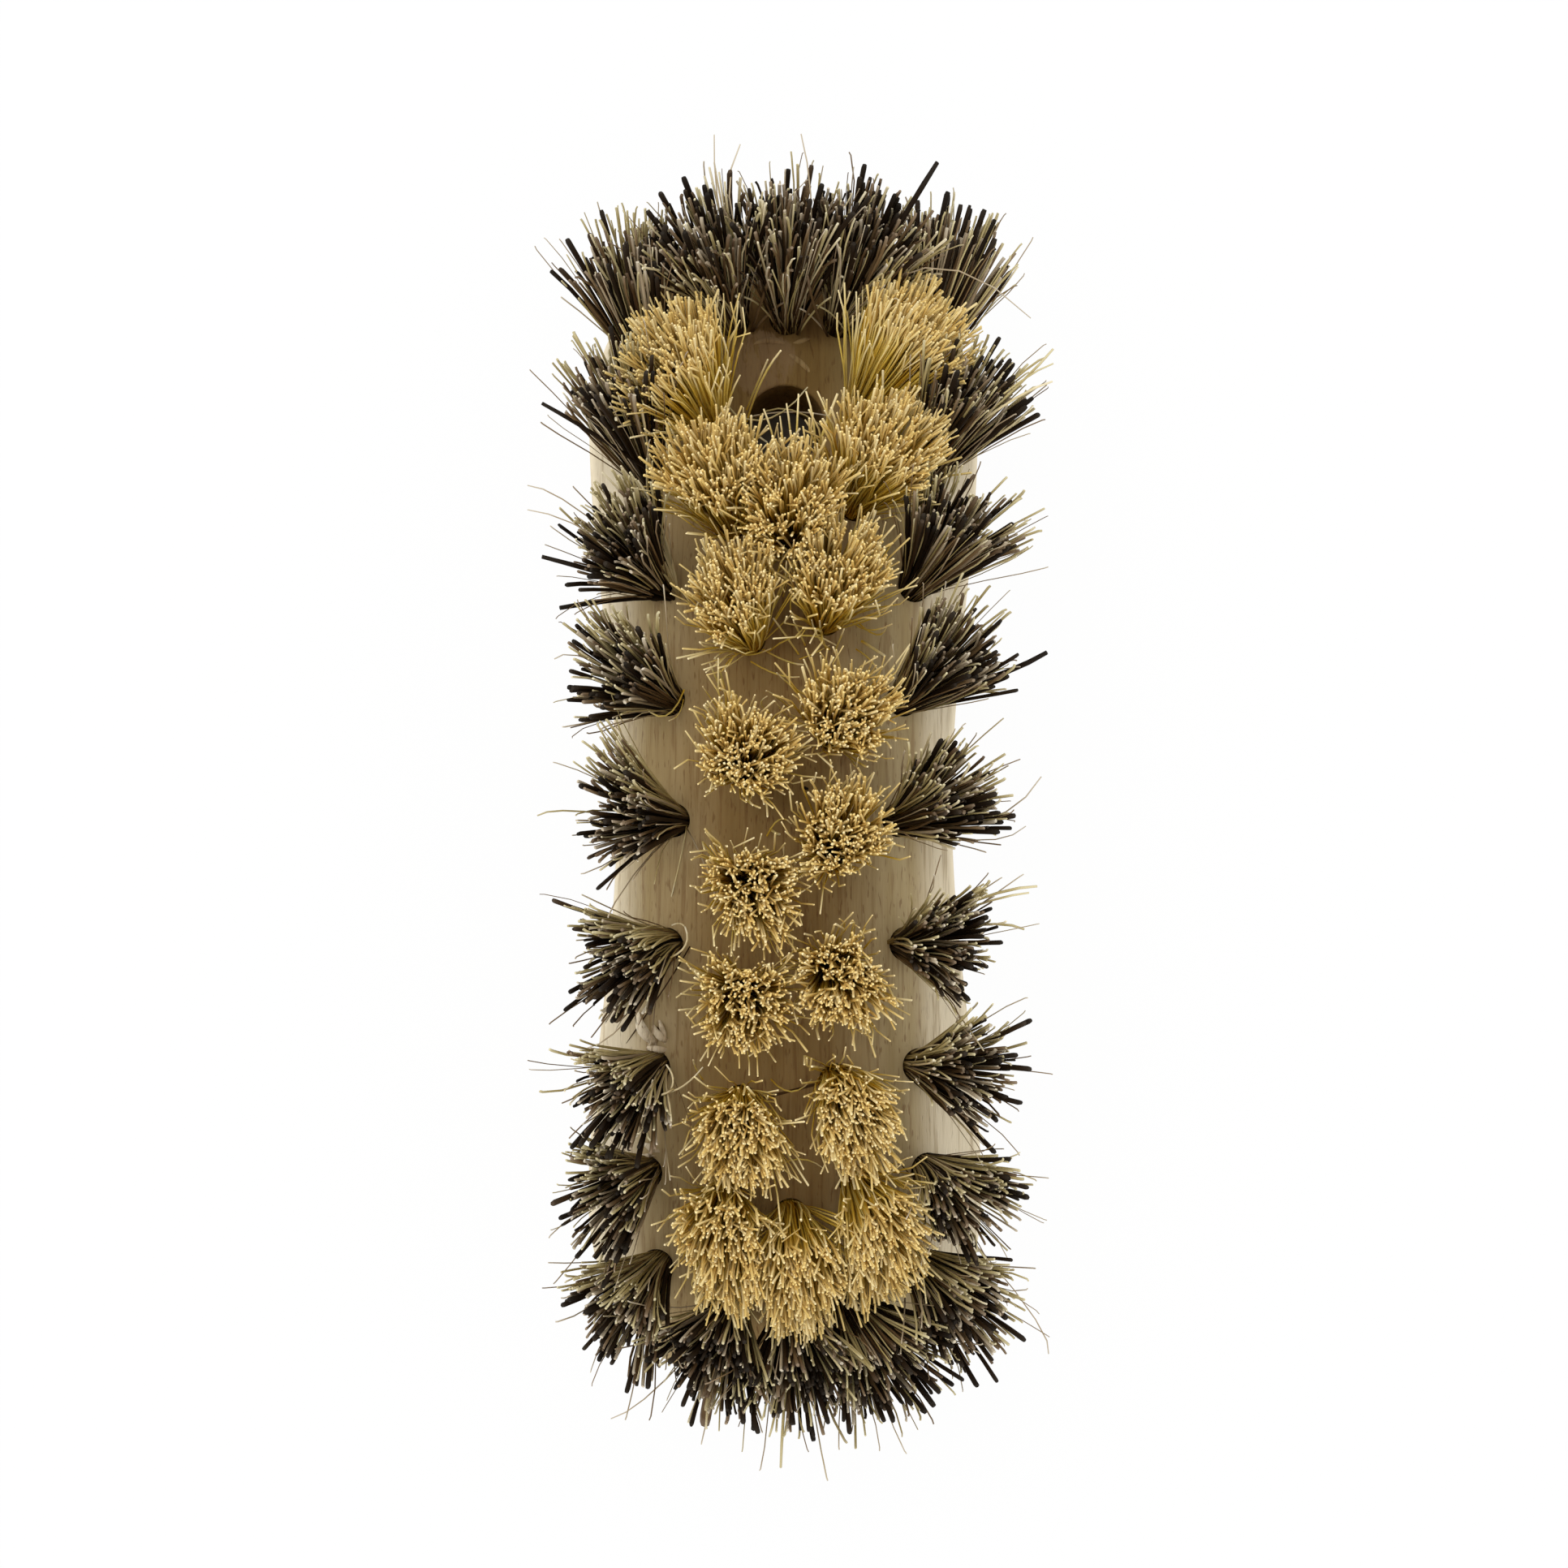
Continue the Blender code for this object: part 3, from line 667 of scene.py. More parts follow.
@dataclass
class Block:
    """The beech block, with finer curves than the solid and the same sizes."""

    seats: list[TuftSeat]
    side_steps: int = 60
    end_steps: int = 56
    edge_steps: int = 6
    soft_steps: int = 4
    back_steps: int = 6
    hole_sides: int = 28
    hanging_sides: int = 72
    soft_width: float = 0.0028
    overrun: float = 0.004
    edge_turn: float = math.radians(78)
    sharp_angle: float = math.radians(32)
    mouth_reach: float = 0.003
    wall_slack: float = 1e-5

    def face_steps(self) -> list[Pair]:
        """Insets and rises from the side wall to the flat face, through two soft ridges."""
        steps = arc_steps(SHAPE.edge_round, self.edge_turn, self.edge_steps)
        total = SHAPE.shoulder_width + SHAPE.ridge_softening
        run = total - sum(inset for inset, _ in steps) - self.soft_width
        slope = (SHAPE.shoulder_drop - sum(rise for _, rise in steps)) / (run + self.soft_width / 2)
        steps.append((run, run * slope))
        soft = self.soft_width / self.soft_steps
        steps += [(soft, soft * slope * (1 - (step + 0.5) / self.soft_steps))
                  for step in range(self.soft_steps)]
        return steps

    def body(self) -> bmesh.types.BMesh:
        """Shape the block without its holes."""
        bm = bmesh.new()
        rim = [bm.verts.new((x, y, SHAPE.back_edge_round)) for x, y in
               SHAPE.outline(self.side_steps, self.end_steps)]
        edges = [bm.edges.new((rim[i - 1], rim[i])) for i in range(len(rim))]
        back = bmesh.ops.contextual_create(bm, geom=edges)["faces"][0]
        back.normal_update()
        if back.normal.z > 0:
            back.normal_flip()
        made = bmesh.ops.extrude_face_region(bm, geom=[back], use_keep_orig=True)["geom"]
        face = next(item for item in made if isinstance(item, bmesh.types.BMFace))
        rise = SHAPE.thickness - SHAPE.shoulder_drop - SHAPE.back_edge_round
        bmesh.ops.translate(bm, verts=face.verts, vec=(0, 0, rise))
        bmesh.ops.recalc_face_normals(bm, faces=bm.faces)
        back_edge = arc_steps(SHAPE.back_edge_round, math.pi / 2, self.back_steps)
        for flat, steps in ((face, self.face_steps()), (back, back_edge)):
            for inset, depth in steps:
                bmesh.ops.inset_region(bm, faces=[flat], thickness=inset, depth=depth, use_even_offset=True)
        return bm

    def hole_cutters(self) -> bpy.types.Object:
        """A round cutter for each tuft hole."""
        bm = bmesh.new()
        depth = SHAPE.hole_depth + self.overrun
        middle = Matrix.Translation((0, 0, depth / 2 - SHAPE.hole_depth))
        for seat in self.seats:
            turn = Vector((0, 0, 1)).rotation_difference(seat.axis).to_matrix().to_4x4()
            bmesh.ops.create_cone(
                bm, cap_ends=True, segments=self.hole_sides, radius1=SHAPE.hole_diameter / 2,
                radius2=SHAPE.hole_diameter / 2, depth=depth,
                matrix=Matrix.Translation(seat.mouth) @ turn @ middle)
        return placed("tuft_hole_cutters", mesh_of("tuft_hole_cutters", bm))

    def hanging_cutter(self) -> bpy.types.Object:
        """A turned cutter for the hanging hole, eased at both rims."""
        radius, ease, top = SHAPE.hanging_hole_diameter / 2, SHAPE.hanging_hole_rim, SHAPE.thickness
        angles = (0, math.pi / 6, math.pi / 3, math.pi / 2)
        profile = [(0, top + self.overrun), (radius + ease + self.overrun, top + self.overrun)]
        profile += [(radius + ease * (1 - math.sin(a)), top - ease * (1 - math.cos(a))) for a in angles]
        profile += [(radius + ease * (1 - math.cos(a)), ease * (1 - math.sin(a))) for a in angles]
        profile += [(radius + ease + self.overrun, -self.overrun), (0, -self.overrun)]
        bm = bmesh.new()
        corners = [bm.verts.new((x, 0, z)) for x, z in profile]
        edges = [bm.edges.new(pair) for pair in zip(corners, corners[1:])]
        bmesh.ops.spin(bm, geom=corners + edges, cent=(0, 0, 0), axis=(0, 0, 1), angle=math.tau,
                       steps=self.hanging_sides, use_merge=True, dvec=(0, 0, 0))
        bmesh.ops.remove_doubles(bm, verts=bm.verts, dist=1e-6)
        bmesh.ops.recalc_face_normals(bm, faces=bm.faces)
        bmesh.ops.translate(bm, verts=bm.verts, vec=(0, SHAPE.hanging_hole_share * SHAPE.length / 2, 0))
        return placed("hanging_hole_cutter", mesh_of("hanging_hole_cutter", bm))

    def in_a_hole(self, point: Vector) -> bool:
        """Whether a point lies on the wall or floor of a tuft hole."""
        reach = SHAPE.hole_diameter / 2 + self.wall_slack
        for seat in self.seats:
            offset = point - seat.mouth
            along = offset.dot(seat.axis)
            if along < self.mouth_reach and (offset - seat.axis * along).length < reach:
                return True
        return False

    def build(self) -> bpy.types.Object:
        """Cut the holes and dress the block."""
        helper = placed("block_body", mesh_of("block_body", self.body()))
        cutters = [self.hole_cutters(), self.hanging_cutter()]
        for tool in cutters:
            cut = helper.modifiers.new(tool.name, "BOOLEAN")
            cut.operation = "DIFFERENCE"
            cut.solver = "EXACT"
            cut.object = tool
        bpy.context.view_layer.update()
        graph = bpy.context.evaluated_depsgraph_get()
        mesh = bpy.data.meshes.new_from_object(helper.evaluated_get(graph))
        mesh.name = "beech_block"
        for item in (helper, *cutters):
            bpy.data.objects.remove(item, do_unlink=True)
        mesh.materials.clear()
        # The second finish is painted shade: the same wood much darker, for the walls and floors of the tuft
        # holes.
        for finish in (BeechFinish(), BeechFinish(name="shaded_drilled_beech", shade=0.26)):
            mesh.materials.append(finish.material())
        points = [self.in_a_hole(vertex.co) for vertex in mesh.vertices]
        for face in mesh.polygons:
            face.material_index = 1 if all(points[index] for index in face.vertices) else 0
        mesh.shade_smooth()
        mesh.set_sharp_from_angle(angle=self.sharp_angle)
        piece = link_piece("beech_block", mesh)
        soft = piece.modifiers.new("flat_faces", "WEIGHTED_NORMAL")
        soft.keep_sharp = True
        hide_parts("wood_block")
        return piece


def read(items: Any, name: str, size: int, kind: type = float) -> np.ndarray:
    """Read one value of every item into an array."""
    values = np.empty(len(items) * size, dtype=kind)
    items.foreach_get(name, values)
    return values


@dataclass
class Bars:
    """Many many-sided bars at once, each along a path of its own.

    The strand map scales and shifts its shades by shade_room. The place of a cut or a foot
    is its middle and how far it varies across the end.
    """

    sides: int
    marks: tuple[float, ...]
    step: float = 10.0
    shade_room: Pair = (0.96, 0.02)
    shade_slant: float = 0.006
    cut_place: Pair = (0.985, 0.01)
    foot_place: Pair = (0.006, 0.004)
    meshes: dict[int, bpy.types.Mesh] = field(default_factory=dict)

    def template(self, count: int) -> bpy.types.Mesh:
        """Return a mesh of upright bars one step apart, with one ring to each mark."""
        if count not in self.meshes:
            rings = len(self.marks)
            bm = bmesh.new()
            bmesh.ops.create_cone(bm, cap_ends=True, segments=self.sides, radius1=1, radius2=1,
                                  depth=rings - 1, matrix=Matrix.Translation((0, 0, (rings - 1) / 2)))
            tall = [edge for edge in bm.edges if abs(edge.verts[0].co.z - edge.verts[1].co.z) > 0.5]
            bmesh.ops.subdivide_edges(bm, edges=tall, cuts=rings - 2, use_grid_fill=True)
            for face in bm.faces:
                face.smooth = True
            for edge in bm.edges:
                ends = [vertex.co.z for vertex in edge.verts]
                edge.smooth = not (min(ends) > rings - 1.1 or max(ends) < 0.1)
            self.multiply(bm, count)
            self.meshes[count] = mesh_of(f"bars_{self.sides}_{count}", bm)
        return self.meshes[count]

    def multiply(self, bm: bmesh.types.BMesh, count: int) -> None:
        """Copy the first bar until there are enough, each a step further along X."""
        made = 1
        while made < count:
            more = min(made, count - made)
            limit = (more - 0.5) * self.step
            verts = [vertex for vertex in bm.verts if vertex.co.x < limit]
            faces = [face for face in bm.faces if face.verts[0].co.x < limit]
            edges = [edge for edge in bm.edges if edge.verts[0].co.x < limit]
            copy = bmesh.ops.duplicate(bm, geom=verts + edges + faces)["geom"]
            fresh = [item for item in copy if isinstance(item, bmesh.types.BMVert)]
            bmesh.ops.translate(bm, verts=fresh, vec=(made * self.step, 0, 0))
            made += more

    def shape(self, name: str, paths: np.ndarray, widths: np.ndarray, flats: np.ndarray,
              facing: np.ndarray, shades: np.ndarray) -> bpy.types.Mesh:
        """Bend the bars along their paths.

        Args:
            name: The mesh's name.
            paths: Ring centres, by strand, ring and axis.
            widths: Half widths, by strand and ring.
            flats: Thickness over width, by strand.
            facing: Direction of the width, by strand and axis.
            shades: The finish's column, by strand.

        Returns:
            The mesh, with its strand map.
        """
        mesh = self.template(len(paths)).copy()
        mesh.name = name
        co = read(mesh.vertices, "co", 3).reshape(-1, 3)
        strand = np.rint(co[:, 0] / self.step).astype(int)
        ring = np.rint(co[:, 2]).astype(int)
        local = co[:, :2] - np.stack((strand * self.step, np.zeros(len(co))), axis=1)
        along = np.gradient(paths, axis=1)
        along /= np.linalg.norm(along, axis=2, keepdims=True)
        wide = facing[:, None, :] - along * np.sum(facing[:, None, :] * along, axis=2, keepdims=True)
        wide /= np.linalg.norm(wide, axis=2, keepdims=True)
        deep = np.cross(along, wide)
        size = widths[strand, ring][:, None]
        points = (paths[strand, ring] + wide[strand, ring] * local[:, :1] * size
                  + deep[strand, ring] * local[:, 1:] * size * flats[strand][:, None])
        mesh.vertices.foreach_set("co", points.ravel())
        self.write_maps(mesh, strand, ring, local, shades)
        mesh.update()
        return mesh

    def write_maps(self, mesh: bpy.types.Mesh, strand: np.ndarray, ring: np.ndarray,
                   local: np.ndarray, shades: np.ndarray) -> None:
        """Write each corner's shade and place along its strand, and the same map for baking."""
        corner = read(mesh.loops, "vertex_index", 1, int)
        starts = read(mesh.polygons, "loop_start", 1, int)
        totals = np.diff(np.append(starts, len(corner)))
        rings = ring[corner]
        lowest = np.repeat(np.minimum.reduceat(rings, starts), totals)
        highest = np.repeat(np.maximum.reduceat(rings, starts), totals)
        slant = local[corner, 0] * 0.8 + local[corner, 1] * 0.6
        scale, lowest_shade = self.shade_room
        shade = shades[strand[corner]] * scale + lowest_shade + slant * self.shade_slant
        place = np.array(self.marks)[rings]
        cap = lowest == highest
        for end, (middle, slope) in ((len(self.marks) - 1, self.cut_place), (0, self.foot_place)):
            place = np.where(cap & (highest == end), middle + local[corner, 1] * slope, place)
        values = np.stack((shade, place), axis=1).ravel()
        for layer in ("strand", "OFBake"):
            mesh.uv_layers.new(name=layer).uv.foreach_set("vector", values)


@dataclass(frozen=True)
class Strain:
    """One sort of strand of a tuft, with sizes in millimetres."""

    count: int
    width: Pair
    flat: Pair
    shade: Pair
    ring: Pair
    reach: Pair
    bend: float
    kink: float
    sector: float = math.pi
    toward: float = 0.0
    bunches: tuple[int, ...] = (0, 1, 2)
    blunt: float = 0.78
    swell: float = 1.0


PALE_STRAINS = (
    Strain(count=410, width=(0.35, 0.48), flat=(0.7, 1.0), shade=(0.05, 0.9), ring=(0.0, 0.97),
           reach=(0.94, 1.02), bend=0.9, kink=0.7, blunt=0.94, swell=1.12),
    Strain(count=80, width=(0.28, 0.40), flat=(0.7, 1.0), shade=(0.4, 1.0), ring=(0.9, 1.65),
           reach=(0.8, 1.0), bend=2.2, kink=0.8, blunt=0.94, swell=1.1),
)

DARK_STRAINS = (
    Strain(count=20, width=(0.75, 1.08), flat=(0.75, 1.0), shade=(0.0, 0.19), ring=(0.3, 1.15),
           reach=(0.86, 1.13), bend=1.0, kink=0.2, toward=math.pi, sector=1.5),
    Strain(count=34, width=(0.42, 0.72), flat=(0.7, 1.0), shade=(0.0, 0.19), ring=(0.0, 1.0),
           reach=(0.84, 1.0), bend=1.2, kink=0.35, blunt=0.9, bunches=(0,)),
    Strain(count=50, width=(0.4, 0.7), flat=(0.6, 1.0), shade=(0.21, 0.39), ring=(0.0, 1.0),
           reach=(0.84, 1.01), bend=1.3, kink=0.4, blunt=0.9, bunches=(0, 1)),
    Strain(count=34, width=(0.4, 0.75), flat=(0.4, 0.75), shade=(0.41, 0.59), ring=(0.0, 1.0),
           reach=(0.86, 1.0), bend=1.3, kink=0.4, blunt=0.95, bunches=(1,)),
    Strain(count=62, width=(0.34, 0.56), flat=(0.5, 0.9), shade=(0.61, 0.79), ring=(0.5, 1.25),
           reach=(0.82, 1.1), bend=1.3, kink=0.4, sector=0.6, blunt=0.95, bunches=(1, 2)),
    Strain(count=30, width=(0.3, 0.48), flat=(0.6, 0.9), shade=(0.64, 0.95), ring=(0.1, 1.1),
           reach=(0.84, 1.02), bend=1.6, kink=0.5, blunt=0.95, bunches=(2,)),
    Strain(count=18, width=(0.16, 0.27), flat=(0.7, 1.0), shade=(0.3, 0.64), ring=(0.9, 1.6),
           reach=(0.9, 1.17), bend=1.8, kink=0.5, blunt=0.95),
)

TOP_STRAINS = DARK_STRAINS[:4] + (
    Strain(count=40, width=(0.34, 0.7), flat=(0.5, 0.9), shade=(0.1, 0.4), ring=(0.5, 1.5),
           reach=(0.5, 0.95), bend=2.2, kink=0.6, sector=1.2, blunt=0.95),
    Strain(count=30, width=(0.3, 0.5), flat=(0.5, 0.9), shade=(0.55, 0.98), ring=(0.5, 1.6),
           reach=(0.55, 1.02), bend=2.8, kink=0.8, sector=1.3, blunt=0.95),
    Strain(count=44, width=(0.34, 0.6), flat=(0.5, 0.9), shade=(0.64, 0.98), ring=(0.2, 1.2),
           reach=(0.84, 1.06), bend=1.5, kink=0.5, blunt=0.95, bunches=(1, 2)),
) + DARK_STRAINS[6:]

BOTTOM_STRAINS = (
    replace(DARK_STRAINS[0], count=30, sector=2.4), replace(DARK_STRAINS[1], count=56),
) + DARK_STRAINS[2:4] + (replace(DARK_STRAINS[4], count=40, sector=2.4),) + DARK_STRAINS[5:]

RIGHT_STRAINS = (
    replace(DARK_STRAINS[0], sector=2.2), replace(DARK_STRAINS[1], bunches=(0, 1)),
) + DARK_STRAINS[2:4] + (
    replace(DARK_STRAINS[4], sector=1.2), replace(DARK_STRAINS[5], count=36, bunches=(0, 1, 2)),
) + DARK_STRAINS[6:]


@dataclass
class Tuft:
    """A tuft of loose strands, set into its hole and fanned out above it.

    Bunches scatter in turn and in ring, and strands in turn at the foot and at the tip.
    """

    seat: TuftSeat
    strains: tuple[Strain, ...]
    bars: Bars
    material: bpy.types.Material
    spread: Pair
    clumps: int
    pull: Pair
    inner_share: float
    olive_heading: float = math.pi / 2
    above: tuple[float, ...] = (0.3, 0.6, 0.86, 1.0)
    seat_radius: float = 2.6 * MM
    foot_depth: float = 12.4 * MM
    ragged: float = 0.17
    clump_scatter: Pair = (0.35, 0.07)
    clump_length: Pair = (0.95, 1.03)
    turn_scatter: Pair = (0.25, 0.12)
    ring_scatter: float = 0.05
    loose_from: float = 1.6
    stiff_kink: float = 0.7
    fine_kink: float = -0.2
    early_lean: float = 0.45
    bow_share: float = 0.42
    mouth_share: float = 0.3
    foot_taper: float = 0.86
    taper: tuple[Pair, ...] = ((0, 0.8), (0.25, 0.92), (0.8, 1.0))

    def axes(self) -> tuple[np.ndarray, np.ndarray, np.ndarray]:
        """The hole's direction, and the tuft's two directions across it."""
        axis = self.seat.axis
        side = axis.cross(self.seat.across).normalized()
        across = side.cross(axis).normalized()
        return np.array(axis), np.array(across), np.array(side)

    def clump_plan(self, rng: np.random.Generator) -> np.ndarray:
        """Place the bunches that strands gather in, each with two shares of the spread, pull and length."""
        count = self.clumps
        turn, ring = self.clump_scatter
        angle = rng.uniform(0, math.tau) + np.arange(count) * GOLDEN_ANGLE + rng.normal(0, turn, count)
        rho = np.sqrt(np.linspace(0.03, 1.0, count)) + rng.normal(0, ring, count)
        pull, length = (rng.uniform(*limits, count) for limits in (self.pull, self.clump_length))
        return np.stack((np.cos(angle) * rho, np.sin(angle) * rho, pull, length), axis=1)

    def strain_rings(self, strain: Strain, rng: np.random.Generator, clumps: np.ndarray,
                     lobes: np.ndarray) -> dict[str, np.ndarray]:
        """Lay out one sort of strand.

        Args:
            strain: The sort.
            rng: The tuft's own random numbers.
            clumps: The tuft's bunches.
            lobes: Turns of the tuft's lobes.

        Returns:
            Paths, half widths, flats, facings and shades, by strand.
        """
        count = strain.count
        foot_scatter, tip_scatter = self.turn_scatter
        axis, across, side = self.axes()

        def level(first: np.ndarray, second: np.ndarray) -> np.ndarray:
            """Combine amounts of the tuft's two directions."""
            return np.outer(first, across) + np.outer(second, side)

        heading = self.olive_heading - math.atan2(across[1], across[0])
        if strain.sector < math.pi:
            angle = heading + strain.toward + rng.normal(0, strain.sector, count)
        else:
            angle = rng.uniform(0, math.tau) + np.arange(count) * GOLDEN_ANGLE
            angle += rng.normal(0, foot_scatter, count)
        low, high = strain.ring
        rho = np.sqrt(rng.permutation(np.linspace(low ** 2, high ** 2, count)))
        rho = np.clip(rho + rng.normal(0, self.ring_scatter, count), 0.0, high * 1.06)
        seat_rho = np.minimum(rho, 1.0) * self.seat_radius
        tilt = angle + rng.normal(0, tip_scatter, count)
        offset = level(np.cos(angle) * seat_rho, np.sin(angle) * seat_rho)
        mouth = np.array(self.seat.mouth) + offset
        foot = mouth - axis * self.foot_depth
        middle = np.array(self.seat.tip - self.seat.mouth)
        length = np.linalg.norm(middle)
        spot = np.stack((np.cos(tilt) * rho, np.sin(tilt) * rho), axis=1)
        clumps = np.concatenate([clumps[kind::3] for kind in strain.bunches])
        gaps = np.linalg.norm(spot[:, None] - clumps[None, :, :2], axis=2)
        bunch = clumps[gaps.argmin(axis=1)]
        hold = bunch[:, 2] * np.clip(self.loose_from - rho, 0.0, 1.0)
        spot += (bunch[:, :2] - spot) * hold[:, None]
        spot *= (1 + self.ragged * sum(np.cos((tilt - lobe) * step) / math.sqrt(step - 1)
                                       for step, lobe in enumerate(lobes, 2)))[:, None]
        lean = np.array(((middle @ across), (middle @ side)))
        ahead = lean / np.linalg.norm(lean)
        spot -= np.outer(np.minimum(spot @ ahead, 0) * (1 - self.inner_share), ahead)
        heads = middle + level(spot[:, 0] * self.spread[0], spot[:, 1] * self.spread[1]) * MM
        heads /= np.linalg.norm(heads, axis=1, keepdims=True)
        reach = length * rng.uniform(*strain.reach, count) * bunch[:, 3]
        tips = np.array(self.seat.mouth) + offset * self.mouth_share + heads * reach[:, None]
        leave = axis * (1 - self.early_lean) + heads * self.early_lean
        bend = level(rng.normal(0, 1, count), rng.normal(0, 1, count)) * strain.bend * 0.5 * MM
        control = mouth + leave * (reach * self.bow_share)[:, None] + bend
        paths = np.stack([foot, mouth, *(curve(mouth, control, tips, t) for t in self.above)], axis=1)
        kink = rng.normal(0, 1, (count, 3)) * strain.kink * MM
        paths[:, -1] += kink
        paths[:, -2] += kink * (self.stiff_kink if self.seat.dark else self.fine_kink)
        paths = kept_in_room(paths)
        width = rng.uniform(*strain.width, count) * MM / 2
        steps = np.linspace(0, 1, paths.shape[1])
        shares = np.interp(steps, *zip(*self.taper, (1, strain.swell)))
        widths = width[:, None] * shares * np.linspace(self.foot_taper, 1.0, paths.shape[1])
        widths[:, -1] *= strain.blunt
        roll = rng.uniform(0, math.tau, count)
        return {
            "paths": paths, "widths": widths, "flats": rng.uniform(*strain.flat, count),
            "facing": level(np.cos(roll), np.sin(roll)), "shades": rng.uniform(*strain.shade, count),
        }

    def build(self) -> bpy.types.Object:
        """Make the tuft's strands as one piece that stands for its solid."""
        seed = sum(ord(letter) * (place + 7) for place, letter in enumerate(self.seat.name))
        rng = np.random.default_rng(seed)
        clumps, lobes = self.clump_plan(rng), rng.uniform(0, math.tau, 3)
        sorts = [self.strain_rings(strain, rng, clumps, lobes) for strain in self.strains]
        laid = {key: np.concatenate([sort[key] for sort in sorts]) for key in sorts[0]}
        name = self.seat.name.replace("tuft", "bristles")
        mesh = self.bars.shape(name, **laid)
        mesh.materials.append(self.material)
        piece = link_piece(name, mesh)
        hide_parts(self.seat.name)
        return piece


@dataclass(frozen=True)
class LooseStrand:
    """A strand by three places in the photograph: two pixels and the height above the floor.

    Its width and the heights are in millimetres.
    """

    width: float
    shade: float
    start: Triple
    middle: Triple
    end: Triple

    def path(self, rings: int) -> np.ndarray:
        """Sample the smooth curve through the three places."""
        first, second, third = (np.array(CAMERA.point(x, y, height * MM))
                                for x, y, height in (self.start, self.middle, self.end))
        return curve(first, second * 2 - (first + third) / 2, third, np.linspace(0, 1, rings)[:, None])


@dataclass(frozen=True)
class LooseSet:
    """Strands that have worked loose from their tufts or stand out of them.

    A row is a strand's width, shade, start, middle and end.
    """

    name: str
    slot: Slot
    rows: tuple[tuple[float, float, Triple, Triple, Triple], ...]
    flat: Pair = (0.7, 1.0)
    lying: bool = False
    sides: int = 6
    marks: tuple[float, ...] = (0.2, 0.4, 0.5, 0.6, 0.75, 0.92, 0.955)
    blunt: float = 0.85
    pointed: float = 0.3
    seed: int = 5

    def build(self, material: bpy.types.Material) -> bpy.types.Object:
        """Make them as one piece."""
        strands = [LooseStrand(*row) for row in self.rows]
        rings, count = len(self.marks), len(strands)
        paths = kept_in_room(np.stack([strand.path(rings) for strand in strands]))
        widths = np.array([[strand.width * MM / 2] * rings for strand in strands])
        widths[:, -1] *= self.blunt
        if self.lying:
            widths *= np.sin(np.linspace(self.pointed, math.pi - self.pointed, rings))
        rng = np.random.default_rng(self.seed)
        facing = rng.normal(0, 1, (count, 3)) * (1, 1, 0 if self.lying else 1)
        shades = np.array([strand.shade for strand in strands])
        flats = rng.uniform(*self.flat, count)
        mesh = Bars(self.sides, self.marks).shape(self.name, paths, widths, flats, facing, shades)
        mesh.materials.append(material)
        return link_piece(self.name, mesh)


